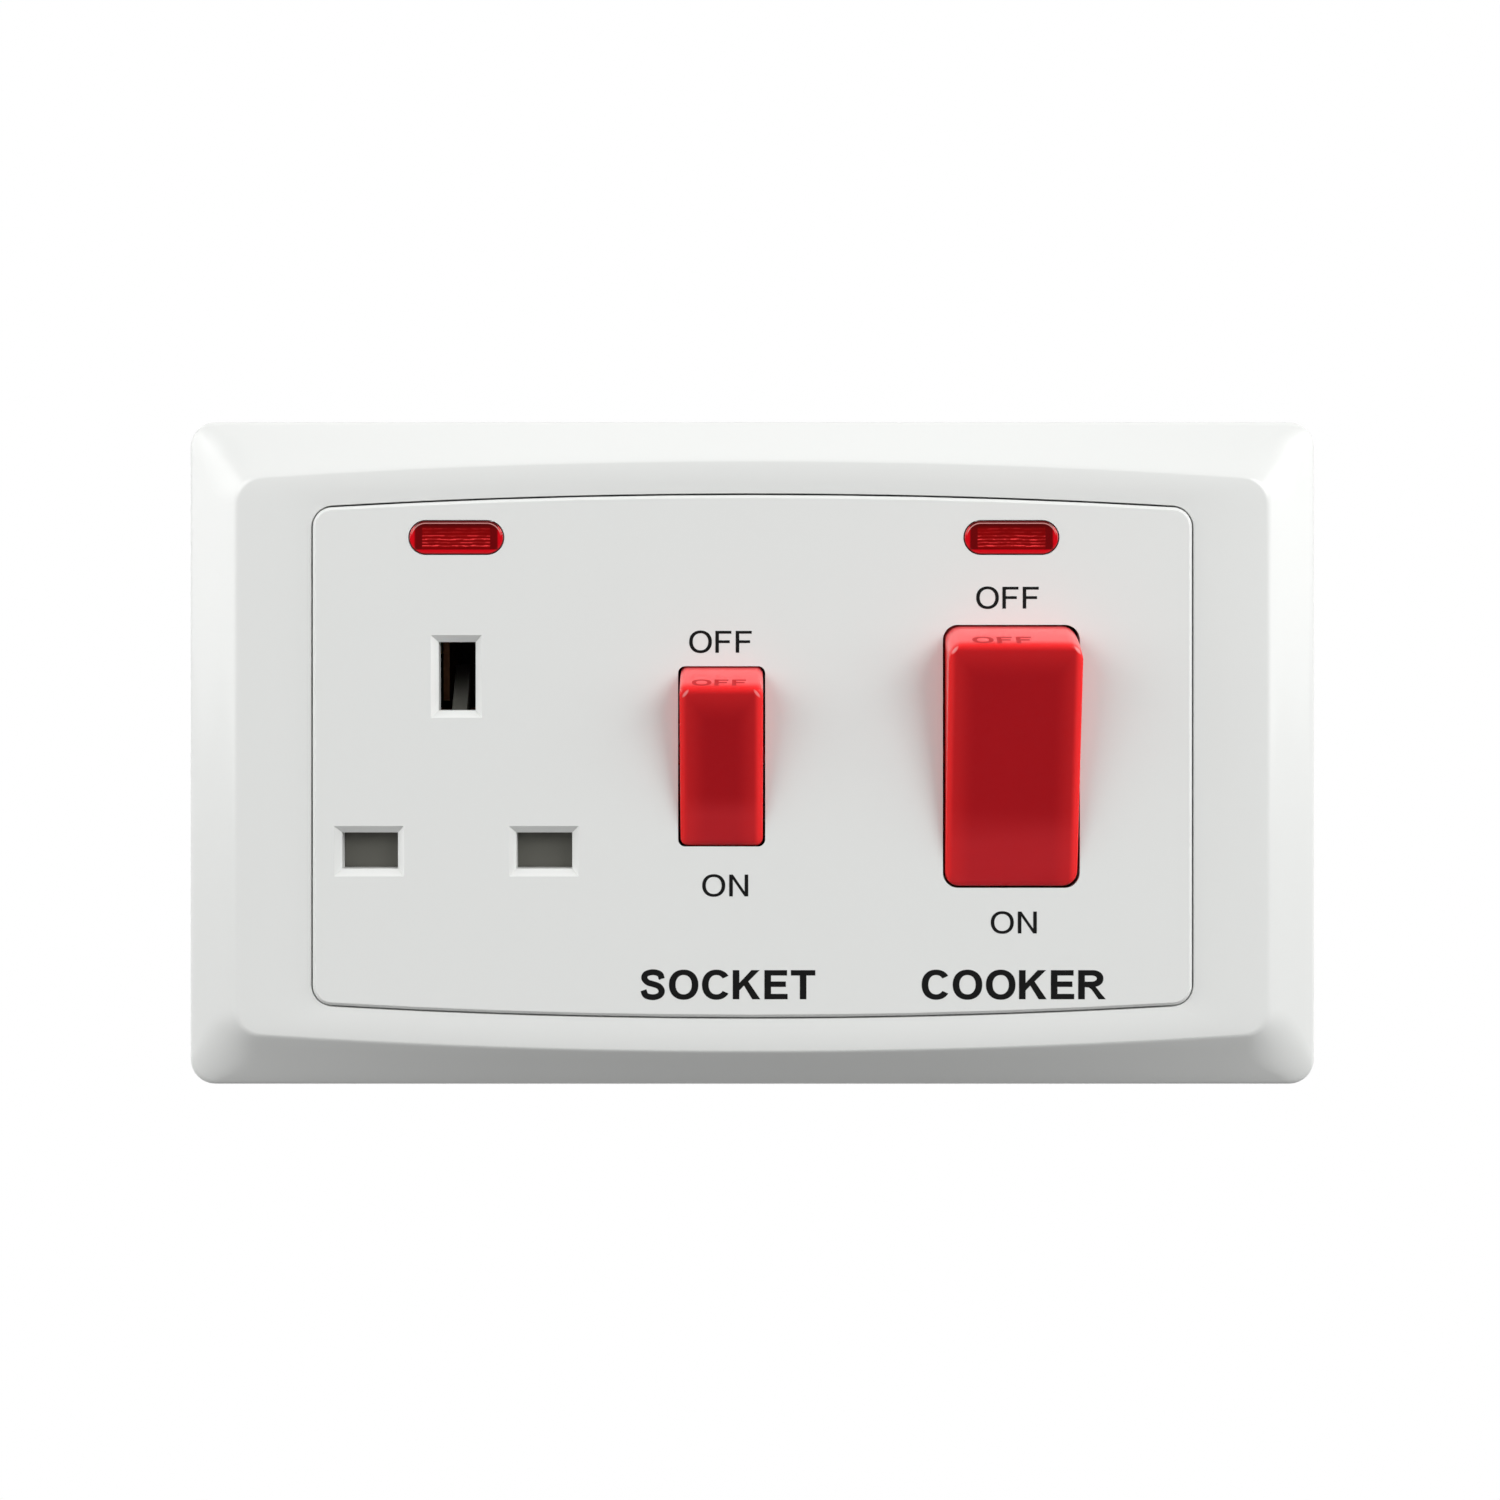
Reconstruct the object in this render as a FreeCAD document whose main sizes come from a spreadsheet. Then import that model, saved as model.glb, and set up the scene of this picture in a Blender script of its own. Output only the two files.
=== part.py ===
import FreeCAD, Part
import math
import os

import Sketcher

# Cooker control unit: a surface plate with a two-pole cooker switch and a switched socket.
# X runs to the right, Z up, and the front faces -Y. The wall plane is y = 0 and the origin is its middle.

Vector = FreeCAD.Vector
doc = FreeCAD.newDocument("cooker_control_unit")

SIZES = {
    "plate_width": 146.0,
    "plate_height": 86.0,
    "plate_corner": 3.2,
    "rim_depth": 3.6,
    "bevel_run_side": 7.25,
    "bevel_run_top": 5.4,
    "plateau_corner": 3.2,
    "plateau_depth": 9.6,
    "bow_radius": 925.0,
    "frame_wall": 2.0,
    "frame_lip": 2.4,
    "frame_lip_wall": 1.2,
    "tongue_width": 3.4,
    "tongue_thick": 1.6,
    "tongue_pitch": 56.0,
    "tongue_clearance": 0.15,
    "tongue_setback": 0.6,
    "side_border": 17.1,
    "panel_height": 66.4,
    "panel_corner": 2.5,
    "panel_depth": 10.0,
    "panel_slab": 2.8,
    "panel_bevel": 0.4,
    "panel_gap": 0.3,
    "tub_wall": 2.0,
    "flange_clearance": 0.8,
    "flange_thick": 2.4,
    "fixing_inset": 12.7,
    "fixing_bore": 4.0,
    "fixing_boss": 9.0,
    "fixing_boss_rise": 2.0,
    "window_gap": 0.3,
    "cooker_inset": 23.0,
    "cooker_window_width": 17.4,
    "cooker_window_height": 33.4,
    "cooker_window_corner": 1.9,
    "cooker_proud": 2.84,
    "cooker_tilt": 11.0,
    "switch_pitch": 33.7,
    "switch_window_width": 11.07,
    "switch_window_height": 22.9,
    "switch_window_corner": 0.9,
    "switch_proud": 2.3,
    "switch_tilt": 13.0,
    "pivot_setback": 3.3,
    "rocker_back": 3.2,
    "rocker_wall": 1.8,
    "rocker_bevel": 0.6,
    "trunnion_radius": 1.3,
    "trunnion_reach": 1.6,
    "trunnion_clearance": 0.1,
    "trunnion_end_gap": 0.4,
    "pivot_boss_wall": 1.2,
    "pivot_boss_height": 7.6,
    "pivot_boss_rise": 3.8,
    "stem_radius": 2.4,
    "stem_bore": 1.6,
    "stem_bore_start": 1.8,
    "plunger_clearance": 0.1,
    "plunger_bite": 0.48,
    "plunger_nose": 1.1,
    "plunger_reach": 3.9,
    "plunger_length": 6.6,
    "spring_wire": 0.4,
    "spring_clearance": 0.05,
    "spring_side_clearance": 0.15,
    "pole_pitch": 11.0,
    "bar_pivot_rise": 4.8,
    "bar_lead": 0.8,
    "bar_thick": 1.0,
    "bar_width": 4.6,
    "bar_tilt": 8.0,
    "saddle_radius": 5.25,
    "saddle_depth": 0.49,
    "bar_end_gap": 1.9,
    "bar_tip_inset": 1.3,
    "switch_bar_half": 8.8,
    "tip_radius": 1.2,
    "tip_thick": 0.8,
    "tip_gap": 0.08,
    "bar_trunnion": 0.8,
    "bar_trunnion_clearance": 0.08,
    "bar_trunnion_overhang": 0.2,
    "ear_thick": 0.8,
    "ear_gap": 0.25,
    "ear_half": 1.9,
    "strip_thick": 1.0,
    "strip_seat": 1.6,
    "strip_margin": 0.3,
    "fold_setback": 1.0,
    "link_gap": 0.6,
    "link_width": 2.2,
    "run_gap": 0.6,
    "run_width": 2.6,
    "socket_inset": 18.3,
    "line_z": -12.05,
    "pin_pitch": 22.2,
    "line_window_width": 7.1,
    "line_window_height": 4.6,
    "earth_window_width": 4.7,
    "earth_window_height": 8.7,
    "pin_chamfer": 0.9,
    "clip_gap": 4.1,
    "clip_leaf": 0.8,
    "clip_width": 4.2,
    "clip_front_y": -1.0,
    "clip_setback": 3.7,
    "clip_foot": 1.0,
    "neutral_link_height": 1.6,
    "neutral_link_overlap": 0.4,
    "neutral_link_gap": 0.6,
    "earth_strap_gap": 0.7,
    "earth_foot_gap": 0.9,
    "earth_setback": 0.4,
    "shutter_side_overlap": 0.95,
    "shutter_clearance": 0.3,
    "shutter_play": 0.2,
    "shutter_blade": 2.0,
    "shutter_overlap": 0.6,
    "shutter_foot": 3.2,
    "shutter_foot_width": 14.0,
    "shutter_foot_overlap": 1.0,
    "shutter_arm_gap": 0.6,
    "shutter_arm": 6.0,
    "shutter_drop": 5.4,
    "ramp_width": 2.0,
    "ramp_depth": 4.2,
    "ramp_face": 1.0,
    "ramp_foot": 3.0,
    "ramp_heel": 2.0,
    "shutter_spring_radius": 1.5,
    "shutter_post": 3.05,
    "lens_inset": 5.4,
    "lens_width": 12.2,
    "lens_height": 4.45,
    "lens_proud": 0.15,
    "lens_clearance": 0.08,
    "lens_brim": 1.0,
    "lens_brim_thick": 0.8,
    "lens_field_width": 8.3,
    "lens_groove": 0.3,
    "lens_groove_pitch": 0.6,
    "neon_radius": 1.5,
    "neon_length": 9.0,
    "neon_pip": 1.5,
    "neon_pip_radius": 0.5,
    "housing_clearance": 0.9,
    "housing_gap": 0.4,
    "housing_flange_clearance": 2.0,
    "housing_flange_strip": 6.7,
    "housing_flange_thick": 2.4,
    "housing_step": 3.0,
    "housing_depth": 15.2,
    "housing_wall": 2.0,
    "housing_floor": 2.2,
    "housing_corner": 1.5,
    "partition": 1.8,
    "chamber_margin": 5.7,
    "ledge_gap": 1.5,
    "seat_end": 4.0,
    "contact_seat_foot": 1.5,
    "contact_seat_gap": 0.5,
    "clip_post_half": 2.0,
    "clip_post_top": 1.4,
    "notch_depth": 1.2,
    "notch_margin": 0.4,
    "link_notch": 2.6,
    "cut_margin": 0.1,
    "live_strip_gap": 0.1,
    "terminal_width": 9.0,
    "terminal_length": 7.8,
    "terminal_depth": 9.0,
    "terminal_clearance": 0.2,
    "terminal_pitch": 16.0,
    "wire_bore": 5.4,
    "wire_wall": 1.0,
    "entry_clearance": 0.4,
    "screw_radius": 2.0,
    "screw_clearance": 0.05,
    "screw_slot": 0.8,
    "screw_slot_depth": 0.9,
    "screw_recess": 0.3,
    "screw_tip_gap": 0.5,
    "screw_hole_clearance": 0.2,
    "driver_clearance": 0.3,
    "housing_screw_inset": 4.0,
    "housing_screw_edge": 3.3,
    "housing_screw_radius": 1.3,
    "housing_screw_head": 2.6,
    "housing_screw_head_thick": 1.8,
    "housing_boss_radius": 3.0,
}

PLACES = {
    "panel_back_y": "sizes.panel_slab - sizes.panel_depth",
    "pivot_y": "sizes.pivot_setback - sizes.panel_depth",
    "plateau_x": "sizes.plate_width / 2 - sizes.bevel_run_side",
    "plateau_z": "sizes.plate_height / 2 - sizes.bevel_run_top",
    "panel_x": "sizes.plate_width / 2 - sizes.side_border",
    "flange_x": "sizes.plate_width / 2 - sizes.frame_wall - sizes.flange_clearance",
    "flange_z": "sizes.plate_height / 2 - sizes.frame_wall - sizes.flange_clearance",
    "tub_inner_x": "panel_x - sizes.tub_wall",
    "tub_inner_z": "sizes.panel_height / 2 - sizes.tub_wall",
    "plateau_back_y": "sizes.frame_wall - sizes.plateau_depth",
    "fixing_x": "sizes.plate_width / 2 - sizes.fixing_inset",
    "housing_x": "tub_inner_x - sizes.housing_clearance",
    "housing_flange_z": "tub_inner_z - sizes.housing_flange_clearance",
    "housing_z": "housing_flange_z - sizes.housing_flange_strip",
    "housing_screw_x": "housing_x - sizes.housing_screw_inset",
    "housing_screw_z": "housing_flange_z - sizes.housing_screw_edge",
    "housing_floor_y": "sizes.housing_depth - sizes.housing_floor",
    "chamber_x": "housing_x - sizes.housing_wall",
    "chamber_z": "housing_z - sizes.housing_wall",
    "socket_x": "sizes.socket_inset - panel_x",
    "switch_x": "socket_x + sizes.switch_pitch",
    "cooker_x": "panel_x - sizes.cooker_inset",
    "lens_z": "sizes.panel_height / 2 - sizes.lens_inset",
    "live_x": "socket_x - sizes.pin_pitch / 2",
    "neutral_x": "socket_x + sizes.pin_pitch / 2",
    "earth_z": "sizes.line_z + sizes.pin_pitch",
    "cooker_live_x": "cooker_x - sizes.pole_pitch / 2",
    "cooker_neutral_x": "cooker_x + sizes.pole_pitch / 2",
    "switch_chamber_left": "switch_x - sizes.chamber_margin",
    "switch_chamber_right": "(switch_x + cooker_live_x - sizes.partition) / 2",
    "terminal_z": "chamber_z - sizes.terminal_length",
    "terminal_front_y": "housing_floor_y - sizes.terminal_depth",
    "fold_front_y": "terminal_front_y + sizes.fold_setback",
    "wire_y": "terminal_front_y + sizes.wire_wall + sizes.wire_bore / 2",
    "cooker_ring": "sqrt(sizes.cooker_window_height ^ 2 / 4 + sizes.pivot_setback ^ 2)",
    "switch_ring": "sqrt(sizes.switch_window_height ^ 2 / 4 + sizes.pivot_setback ^ 2)",
    "strip_back_y": "housing_floor_y - sizes.strip_seat",
    "strip_front_y": "strip_back_y - sizes.strip_thick",
    "bar_pivot_y": "strip_back_y - sizes.bar_pivot_rise",
    "plunger_tip": "bar_pivot_y - pivot_y - sizes.plunger_bite",
    "stem_reach": "plunger_tip - sizes.plunger_reach",
    "clip_back_y": "housing_floor_y - sizes.clip_setback",
    "earth_back_y": "strip_back_y - sizes.earth_setback",
    "bar_back": "sizes.bar_thick - sizes.bar_lead",
    "ear_inner": "sizes.bar_width / 2 + sizes.ear_gap",
    "ear_outer": "ear_inner + sizes.ear_thick",
    "cooker_bar_half": "terminal_z - sizes.bar_end_gap",
    "cooker_tip_z": "cooker_bar_half - sizes.bar_tip_inset",
    "switch_tip_z": "sizes.switch_bar_half - sizes.bar_tip_inset",
    "cooker_tip_y": "bar_pivot_y + (bar_back + sizes.tip_thick) * cos(sizes.bar_tilt)"
                    " + (cooker_tip_z + sizes.tip_radius) * sin(sizes.bar_tilt) + sizes.tip_gap",
    "switch_tip_y": "bar_pivot_y + (bar_back + sizes.tip_thick) * cos(sizes.bar_tilt)"
                    " + (switch_tip_z + sizes.tip_radius) * sin(sizes.bar_tilt) + sizes.tip_gap",
    "shutter_half": "(sizes.pin_pitch + sizes.line_window_width) / 2 + sizes.shutter_side_overlap",
    "shutter_front_y": "panel_back_y + sizes.shutter_play",
    "shutter_foot_y": "-sizes.housing_step - sizes.shutter_clearance",
    "shutter_top_z": "sizes.line_z + sizes.line_window_height / 2 + sizes.shutter_overlap",
    "shutter_low_z": "sizes.line_z - sizes.line_window_height / 2 - sizes.shutter_overlap",
    "shutter_foot_z": "shutter_low_z - sizes.shutter_foot",
    "shutter_spring_y": "(shutter_front_y + shutter_foot_y) / 2",
    "shutter_seat_z": "sizes.shutter_post - tub_inner_z",
    "earth_low_z": "earth_z - sizes.earth_window_height / 2",
    "live_run_z": "earth_low_z - sizes.run_gap",
    "lens_line_y": "panel_back_y + sizes.lens_brim_thick",
    "housing_ledge_z": "sizes.line_z - sizes.clip_gap / 2 - sizes.clip_leaf - sizes.ledge_gap",
    "live_strip_y": "housing_floor_y - sizes.live_strip_gap",
}


def add_sheet(name, cells, prefix=""):
    sheet = doc.addObject("Spreadsheet::Sheet", name)
    for row, (alias, content) in enumerate(cells.items(), start=1):
        sheet.set(f"A{row}", alias)
        sheet.set(f"B{row}", f"{prefix}{content}")
        sheet.setAlias(f"B{row}", alias)
    return sheet


add_sheet("sizes", SIZES)
places = add_sheet("places", PLACES, "=")
doc.recompute()


def number(expression):
    """The present value of an expression on the two sheets."""
    return float(places.evalExpression(str(expression)))


# Sketches

def sketch_on(body, name, plane, offset):
    """A sketch parallel to one of the body's own origin planes, offset along that plane's normal."""
    sketch = body.newObject("Sketcher::SketchObject", name)
    support = next(feature for feature in body.Origin.OriginFeatures if feature.Role == plane)
    sketch.AttachmentSupport = [(support, "")]
    sketch.MapMode = "FlatFace"
    sketch.setExpression(".AttachmentOffset.Base.z", str(offset))
    return sketch


def front_sketch(body, name, y):
    """A sketch in the X-Z plane at depth y, drawn with X to the right and Z up."""
    return sketch_on(body, name, "XZ_Plane", f"-({y})")


def side_sketch(body, name, x):
    """A sketch in the Y-Z plane at x, drawn with Y to the right and Z up."""
    return sketch_on(body, name, "YZ_Plane", x)


def bind(sketch, expression, kind, *elements):
    constraint = Sketcher.Constraint(kind, *elements, number(expression))
    index = sketch.addConstraint(constraint)
    sketch.setExpression(f"Constraints[{index}]", str(expression))


def tie(sketch, kind, *elements):
    sketch.addConstraint(Sketcher.Constraint(kind, *elements))


def draw_line(sketch, start, end):
    return sketch.addGeometry(Part.LineSegment(Vector(*start, 0), Vector(*end, 0)), False)


def draw_arc(sketch, centre, radius, first, last):
    circle = Part.Circle(Vector(*centre, 0), Vector(0, 0, 1), radius)
    return sketch.addGeometry(Part.ArcOfCircle(circle, first, last), False)


def polygon(sketch, points):
    """Straight edges through points given as pairs of expressions."""
    at = [(number(across), number(up)) for across, up in points]
    edges = [draw_line(sketch, at[i], at[(i + 1) % len(at)]) for i in range(len(at))]
    for i, edge in enumerate(edges):
        tie(sketch, "Coincident", edge, 2, edges[(i + 1) % len(edges)], 1)
        bind(sketch, points[i][0], "DistanceX", -1, 1, edge, 1)
        bind(sketch, points[i][1], "DistanceY", -1, 1, edge, 1)
    return sketch


def rectangle(sketch, left, right, low, high):
    return polygon(sketch, [(left, low), (right, low), (right, high), (left, high)])


def circles(sketch, centres, radius):
    for across, up in centres:
        circle = Part.Circle(Vector(number(across), number(up), 0), Vector(0, 0, 1), number(radius))
        ring = sketch.addGeometry(circle, False)
        bind(sketch, radius, "Radius", ring)
        bind(sketch, across, "DistanceX", -1, 1, ring, 3)
        bind(sketch, up, "DistanceY", -1, 1, ring, 3)
    return sketch


def rounded_rectangle(sketch, left, right, low, high, corner):
    """Four sides and four tangent corner arcs, starting with the right side."""
    x_low, x_high, z_low, z_high, r = [number(value) for value in (left, right, low, high, corner)]
    quarter = math.pi / 2
    right_side = draw_line(sketch, (x_high, z_low + r), (x_high, z_high - r))
    arcs = [draw_arc(sketch, (x_high - r, z_high - r), r, 0, quarter)]
    top_side = draw_line(sketch, (x_high - r, z_high), (x_low + r, z_high))
    arcs.append(draw_arc(sketch, (x_low + r, z_high - r), r, quarter, 2 * quarter))
    left_side = draw_line(sketch, (x_low, z_high - r), (x_low, z_low + r))
    arcs.append(draw_arc(sketch, (x_low + r, z_low + r), r, 2 * quarter, 3 * quarter))
    low_side = draw_line(sketch, (x_low + r, z_low), (x_high - r, z_low))
    arcs.append(draw_arc(sketch, (x_high - r, z_low + r), r, 3 * quarter, 4 * quarter))
    chain = [right_side, arcs[0], top_side, arcs[1], left_side, arcs[2], low_side, arcs[3]]
    for edge, following in zip(chain, chain[1:] + chain[:1]):
        tie(sketch, "Tangent", edge, 2, following, 1)
    for edge in (right_side, left_side):
        tie(sketch, "Vertical", edge)
    for edge in (top_side, low_side):
        tie(sketch, "Horizontal", edge)
    for arc in arcs[1:]:
        tie(sketch, "Equal", arcs[0], arc)
    bind(sketch, corner, "Radius", arcs[0])
    bind(sketch, right, "DistanceX", -1, 1, right_side, 1)
    bind(sketch, left, "DistanceX", -1, 1, left_side, 1)
    bind(sketch, high, "DistanceY", -1, 1, top_side, 1)
    bind(sketch, low, "DistanceY", -1, 1, low_side, 1)
    return sketch


def bowed_outline(sketch, half_width, half_height, corner, bow):
    """A rounded rectangle whose top and bottom are long shallow arcs, starting with the right side."""
    w, h, r, big = [number(value) for value in (half_width, half_height, corner, bow)]
    drop = h - big
    corner_z = drop + math.sqrt((big - r) ** 2 - (w - r) ** 2)
    turn = math.atan2(corner_z - drop, w - r)
    right_side = draw_line(sketch, (w, -corner_z), (w, corner_z))
    arcs = [draw_arc(sketch, (w - r, corner_z), r, 0, turn)]
    top_bow = draw_arc(sketch, (0, drop), big, turn, math.pi - turn)
    arcs.append(draw_arc(sketch, (r - w, corner_z), r, math.pi - turn, math.pi))
    left_side = draw_line(sketch, (-w, corner_z), (-w, -corner_z))
    arcs.append(draw_arc(sketch, (r - w, -corner_z), r, math.pi, math.pi + turn))
    low_bow = draw_arc(sketch, (0, -drop), big, math.pi + turn, 2 * math.pi - turn)
    arcs.append(draw_arc(sketch, (w - r, -corner_z), r, 2 * math.pi - turn, 2 * math.pi))
    chain = [right_side, arcs[0], top_bow, arcs[1], left_side, arcs[2], low_bow, arcs[3]]
    for edge, following in zip(chain, chain[1:] + chain[:1]):
        tie(sketch, "Tangent", edge, 2, following, 1)
    for edge in (right_side, left_side):
        tie(sketch, "Vertical", edge)
    for arc in arcs[1:]:
        tie(sketch, "Equal", arcs[0], arc)
    bind(sketch, corner, "Radius", arcs[0])
    bind(sketch, half_width, "DistanceX", -1, 1, right_side, 1)
    bind(sketch, f"-({half_width})", "DistanceX", -1, 1, left_side, 1)
    for edge, centre in ((top_bow, f"({half_height}) - ({bow})"), (low_bow, f"({bow}) - ({half_height})")):
        bind(sketch, bow, "Radius", edge)
        tie(sketch, "PointOnObject", edge, 3, -2)
        bind(sketch, centre, "DistanceY", -1, 1, edge, 3)
    return sketch


def stadium(sketch, across, up, width, height):
    """Two straight sides and two half circles, centred on a point."""
    x, z, r = number(across), number(up), number(height) / 2
    reach = number(width) / 2 - r
    top_side = draw_line(sketch, (x + reach, z + r), (x - reach, z + r))
    left_end = draw_arc(sketch, (x - reach, z), r, math.pi / 2, 3 * math.pi / 2)
    low_side = draw_line(sketch, (x - reach, z - r), (x + reach, z - r))
    right_end = draw_arc(sketch, (x + reach, z), r, -math.pi / 2, math.pi / 2)
    chain = [top_side, left_end, low_side, right_end]
    for edge, following in zip(chain, chain[1:] + chain[:1]):
        tie(sketch, "Tangent", edge, 2, following, 1)
    tie(sketch, "Horizontal", top_side)
    tie(sketch, "Equal", left_end, right_end)
    bind(sketch, f"({height}) / 2", "Radius", left_end)
    bind(sketch, f"{across} - ({width} - ({height})) / 2", "DistanceX", -1, 1, left_end, 3)
    bind(sketch, f"{across} + ({width} - ({height})) / 2", "DistanceX", -1, 1, right_end, 3)
    bind(sketch, up, "DistanceY", -1, 1, left_end, 3)
    return sketch


# Features

def new_body(name):
    return doc.addObject("PartDesign::Body", name)


def pad(body, name, sketch, length, back=False, both=False):
    """A pad towards the plane's normal, or away from it with back, or half each way with both."""
    feature = body.newObject("PartDesign::Pad", name)
    feature.Profile = sketch
    feature.setExpression("Length", str(length))
    feature.Reversed = back
    if both:
        feature.SideType = "Symmetric"
    doc.recompute()
    return feature


def pocket(body, name, sketch, length, forward=False, both=False):
    """A pocket against the plane's normal, or along it with forward, or half each way with both."""
    before = body.Tip.Shape.Volume
    feature = body.newObject("PartDesign::Pocket", name)
    feature.Profile = sketch
    feature.setExpression("Length", str(length))
    feature.Reversed = forward
    if both:
        feature.SideType = "Symmetric"
    doc.recompute()
    if feature.Shape.Volume >= before:
        raise ValueError(f"{name} cuts nothing")
    return feature


def loft(body, name, kind, first, second):
    feature = body.newObject(kind, name)
    feature.Profile = first
    feature.Sections = [second]
    feature.Ruled = True
    doc.recompute()
    return feature


def edges_where(feature, test):
    """The names of a feature's edges that pass a test."""
    found = [f"Edge{i}" for i, edge in enumerate(feature.Shape.Edges, start=1) if test(edge)]
    if not found:
        raise ValueError(f"no edge of {feature.Name} passes the test")
    return found


def round_edges(body, name, base, radius, test):
    feature = body.newObject("PartDesign::Fillet", name)
    feature.Base = (base, edges_where(base, test))
    feature.setExpression("Radius", str(radius))
    doc.recompute()
    return feature


def bevel_edges(body, name, base, size, test):
    feature = body.newObject("PartDesign::Chamfer", name)
    feature.Base = (base, edges_where(base, test))
    feature.setExpression("Size", str(size))
    doc.recompute()
    return feature


def edge_at_y(y):
    """A test for edges that lie wholly in the plane at y."""
    level = number(y)
    return lambda edge: abs(edge.BoundBox.YMin - level) < 1e-4 and abs(edge.BoundBox.YMax - level) < 1e-4


# Primitives

def put(piece, x, y, z):
    for axis, place in zip("xyz", (x, y, z)):
        piece.setExpression(f"Placement.Base.{axis}", str(place))


def block(name, x, y, z):
    """A box between pairs of low and high places."""
    piece = doc.addObject("Part::Box", name)
    for side, (low, high) in zip(("Length", "Width", "Height"), (x, y, z)):
        piece.setExpression(side, f"{high} - ({low})")
    put(piece, x[0], y[0], z[0])
    return piece


AXIS_TURNS = {
    "x": FreeCAD.Rotation(Vector(0, 1, 0), 90),
    "y": FreeCAD.Rotation(Vector(1, 0, 0), -90),
    "z": FreeCAD.Rotation(),
}


def rod(name, axis, start, length, radius):
    """A cylinder along an axis from a start point."""
    piece = doc.addObject("Part::Cylinder", name)
    piece.setExpression("Radius", str(radius))
    piece.setExpression("Height", str(length))
    piece.Placement = FreeCAD.Placement(Vector(), AXIS_TURNS[axis])
    put(piece, *start)
    return piece


def join(name, pieces):
    whole = doc.addObject("Part::MultiFuse", name)
    whole.Shapes = pieces
    return whole


def cut(name, base, tools):
    whole = doc.addObject("Part::Cut", name)
    whole.Base = base
    whole.Tool = tools[0] if len(tools) == 1 else join(f"{name}_tools", tools)
    return whole


# Cover frame: rim, bevel and plateau round the panel, clipped over the flange by four tongues

def build_cover_frame():
    body = new_body("cover_frame")
    rim = rounded_rectangle(front_sketch(body, "rim_outline", 0), "-sizes.plate_width / 2",
                            "sizes.plate_width / 2", "-sizes.plate_height / 2",
                            "sizes.plate_height / 2", "sizes.plate_corner")
    pad(body, "rim", rim, "sizes.rim_depth")
    rim_top = rounded_rectangle(front_sketch(body, "bevel_foot", "-sizes.rim_depth"),
                                "-sizes.plate_width / 2", "sizes.plate_width / 2",
                                "-sizes.plate_height / 2", "sizes.plate_height / 2",
                                "sizes.plate_corner")
    plateau = bowed_outline(front_sketch(body, "plateau_outline", "-sizes.plateau_depth"),
                            "places.plateau_x", "places.plateau_z", "sizes.plateau_corner",
                            "sizes.bow_radius")
    loft(body, "bevel", "PartDesign::AdditiveLoft", rim_top, plateau)
    inner_x = "(sizes.plate_width / 2 - sizes.frame_wall)"
    inner_z = "(sizes.plate_height / 2 - sizes.frame_wall)"
    inner_corner = "sizes.plate_corner - sizes.frame_wall"
    hollow = rounded_rectangle(front_sketch(body, "rim_hollow_outline", 0), f"-{inner_x}", inner_x,
                               f"-{inner_z}", inner_z, inner_corner)
    pocket(body, "rim_hollow", hollow, "sizes.rim_depth", forward=True)
    hollow_foot = rounded_rectangle(front_sketch(body, "bevel_hollow_foot", "-sizes.rim_depth"),
                                    f"-{inner_x}", inner_x, f"-{inner_z}", inner_z, inner_corner)
    hollow_top = bowed_outline(front_sketch(body, "bevel_hollow_top", "places.plateau_back_y"),
                               "places.plateau_x - sizes.frame_wall",
                               "(places.plateau_z - sizes.frame_wall)",
                               "sizes.plateau_corner", "sizes.bow_radius - sizes.frame_wall")
    loft(body, "bevel_hollow", "PartDesign::SubtractiveLoft", hollow_foot, hollow_top)
    lip_edge = "(sizes.panel_gap + sizes.frame_lip_wall)"
    lip = bowed_outline(front_sketch(body, "lip_outline", "places.plateau_back_y"),
                        f"places.panel_x + {lip_edge}", f"(sizes.panel_height / 2 + {lip_edge})",
                        f"sizes.panel_corner + {lip_edge}", f"(sizes.bow_radius + {lip_edge})")
    pad(body, "lip", lip, "sizes.frame_lip", back=True)
    window = bowed_outline(front_sketch(body, "window_outline", "-sizes.plateau_depth"),
                           "places.panel_x + sizes.panel_gap",
                           "(sizes.panel_height / 2 + sizes.panel_gap)",
                           "sizes.panel_corner + sizes.panel_gap",
                           "(sizes.bow_radius + sizes.panel_gap)")
    pocket(body, "window", window, "sizes.plateau_depth")
    tongues = front_sketch(body, "tongue_outlines", "places.plateau_back_y")
    for side in ("", "-"):
        for level in ("", "-"):
            rectangle(tongues, f"{side}places.fixing_x - sizes.tongue_thick / 2",
                      f"{side}places.fixing_x + sizes.tongue_thick / 2",
                      f"{level}sizes.tongue_pitch / 2 - sizes.tongue_width / 2",
                      f"{level}sizes.tongue_pitch / 2 + sizes.tongue_width / 2")
    pad(body, "tongues", tongues, "-places.plateau_back_y - sizes.tongue_setback", back=True)
    return body


# Front plate: panel, tub and flange in one moulding, with the bosses behind it

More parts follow.
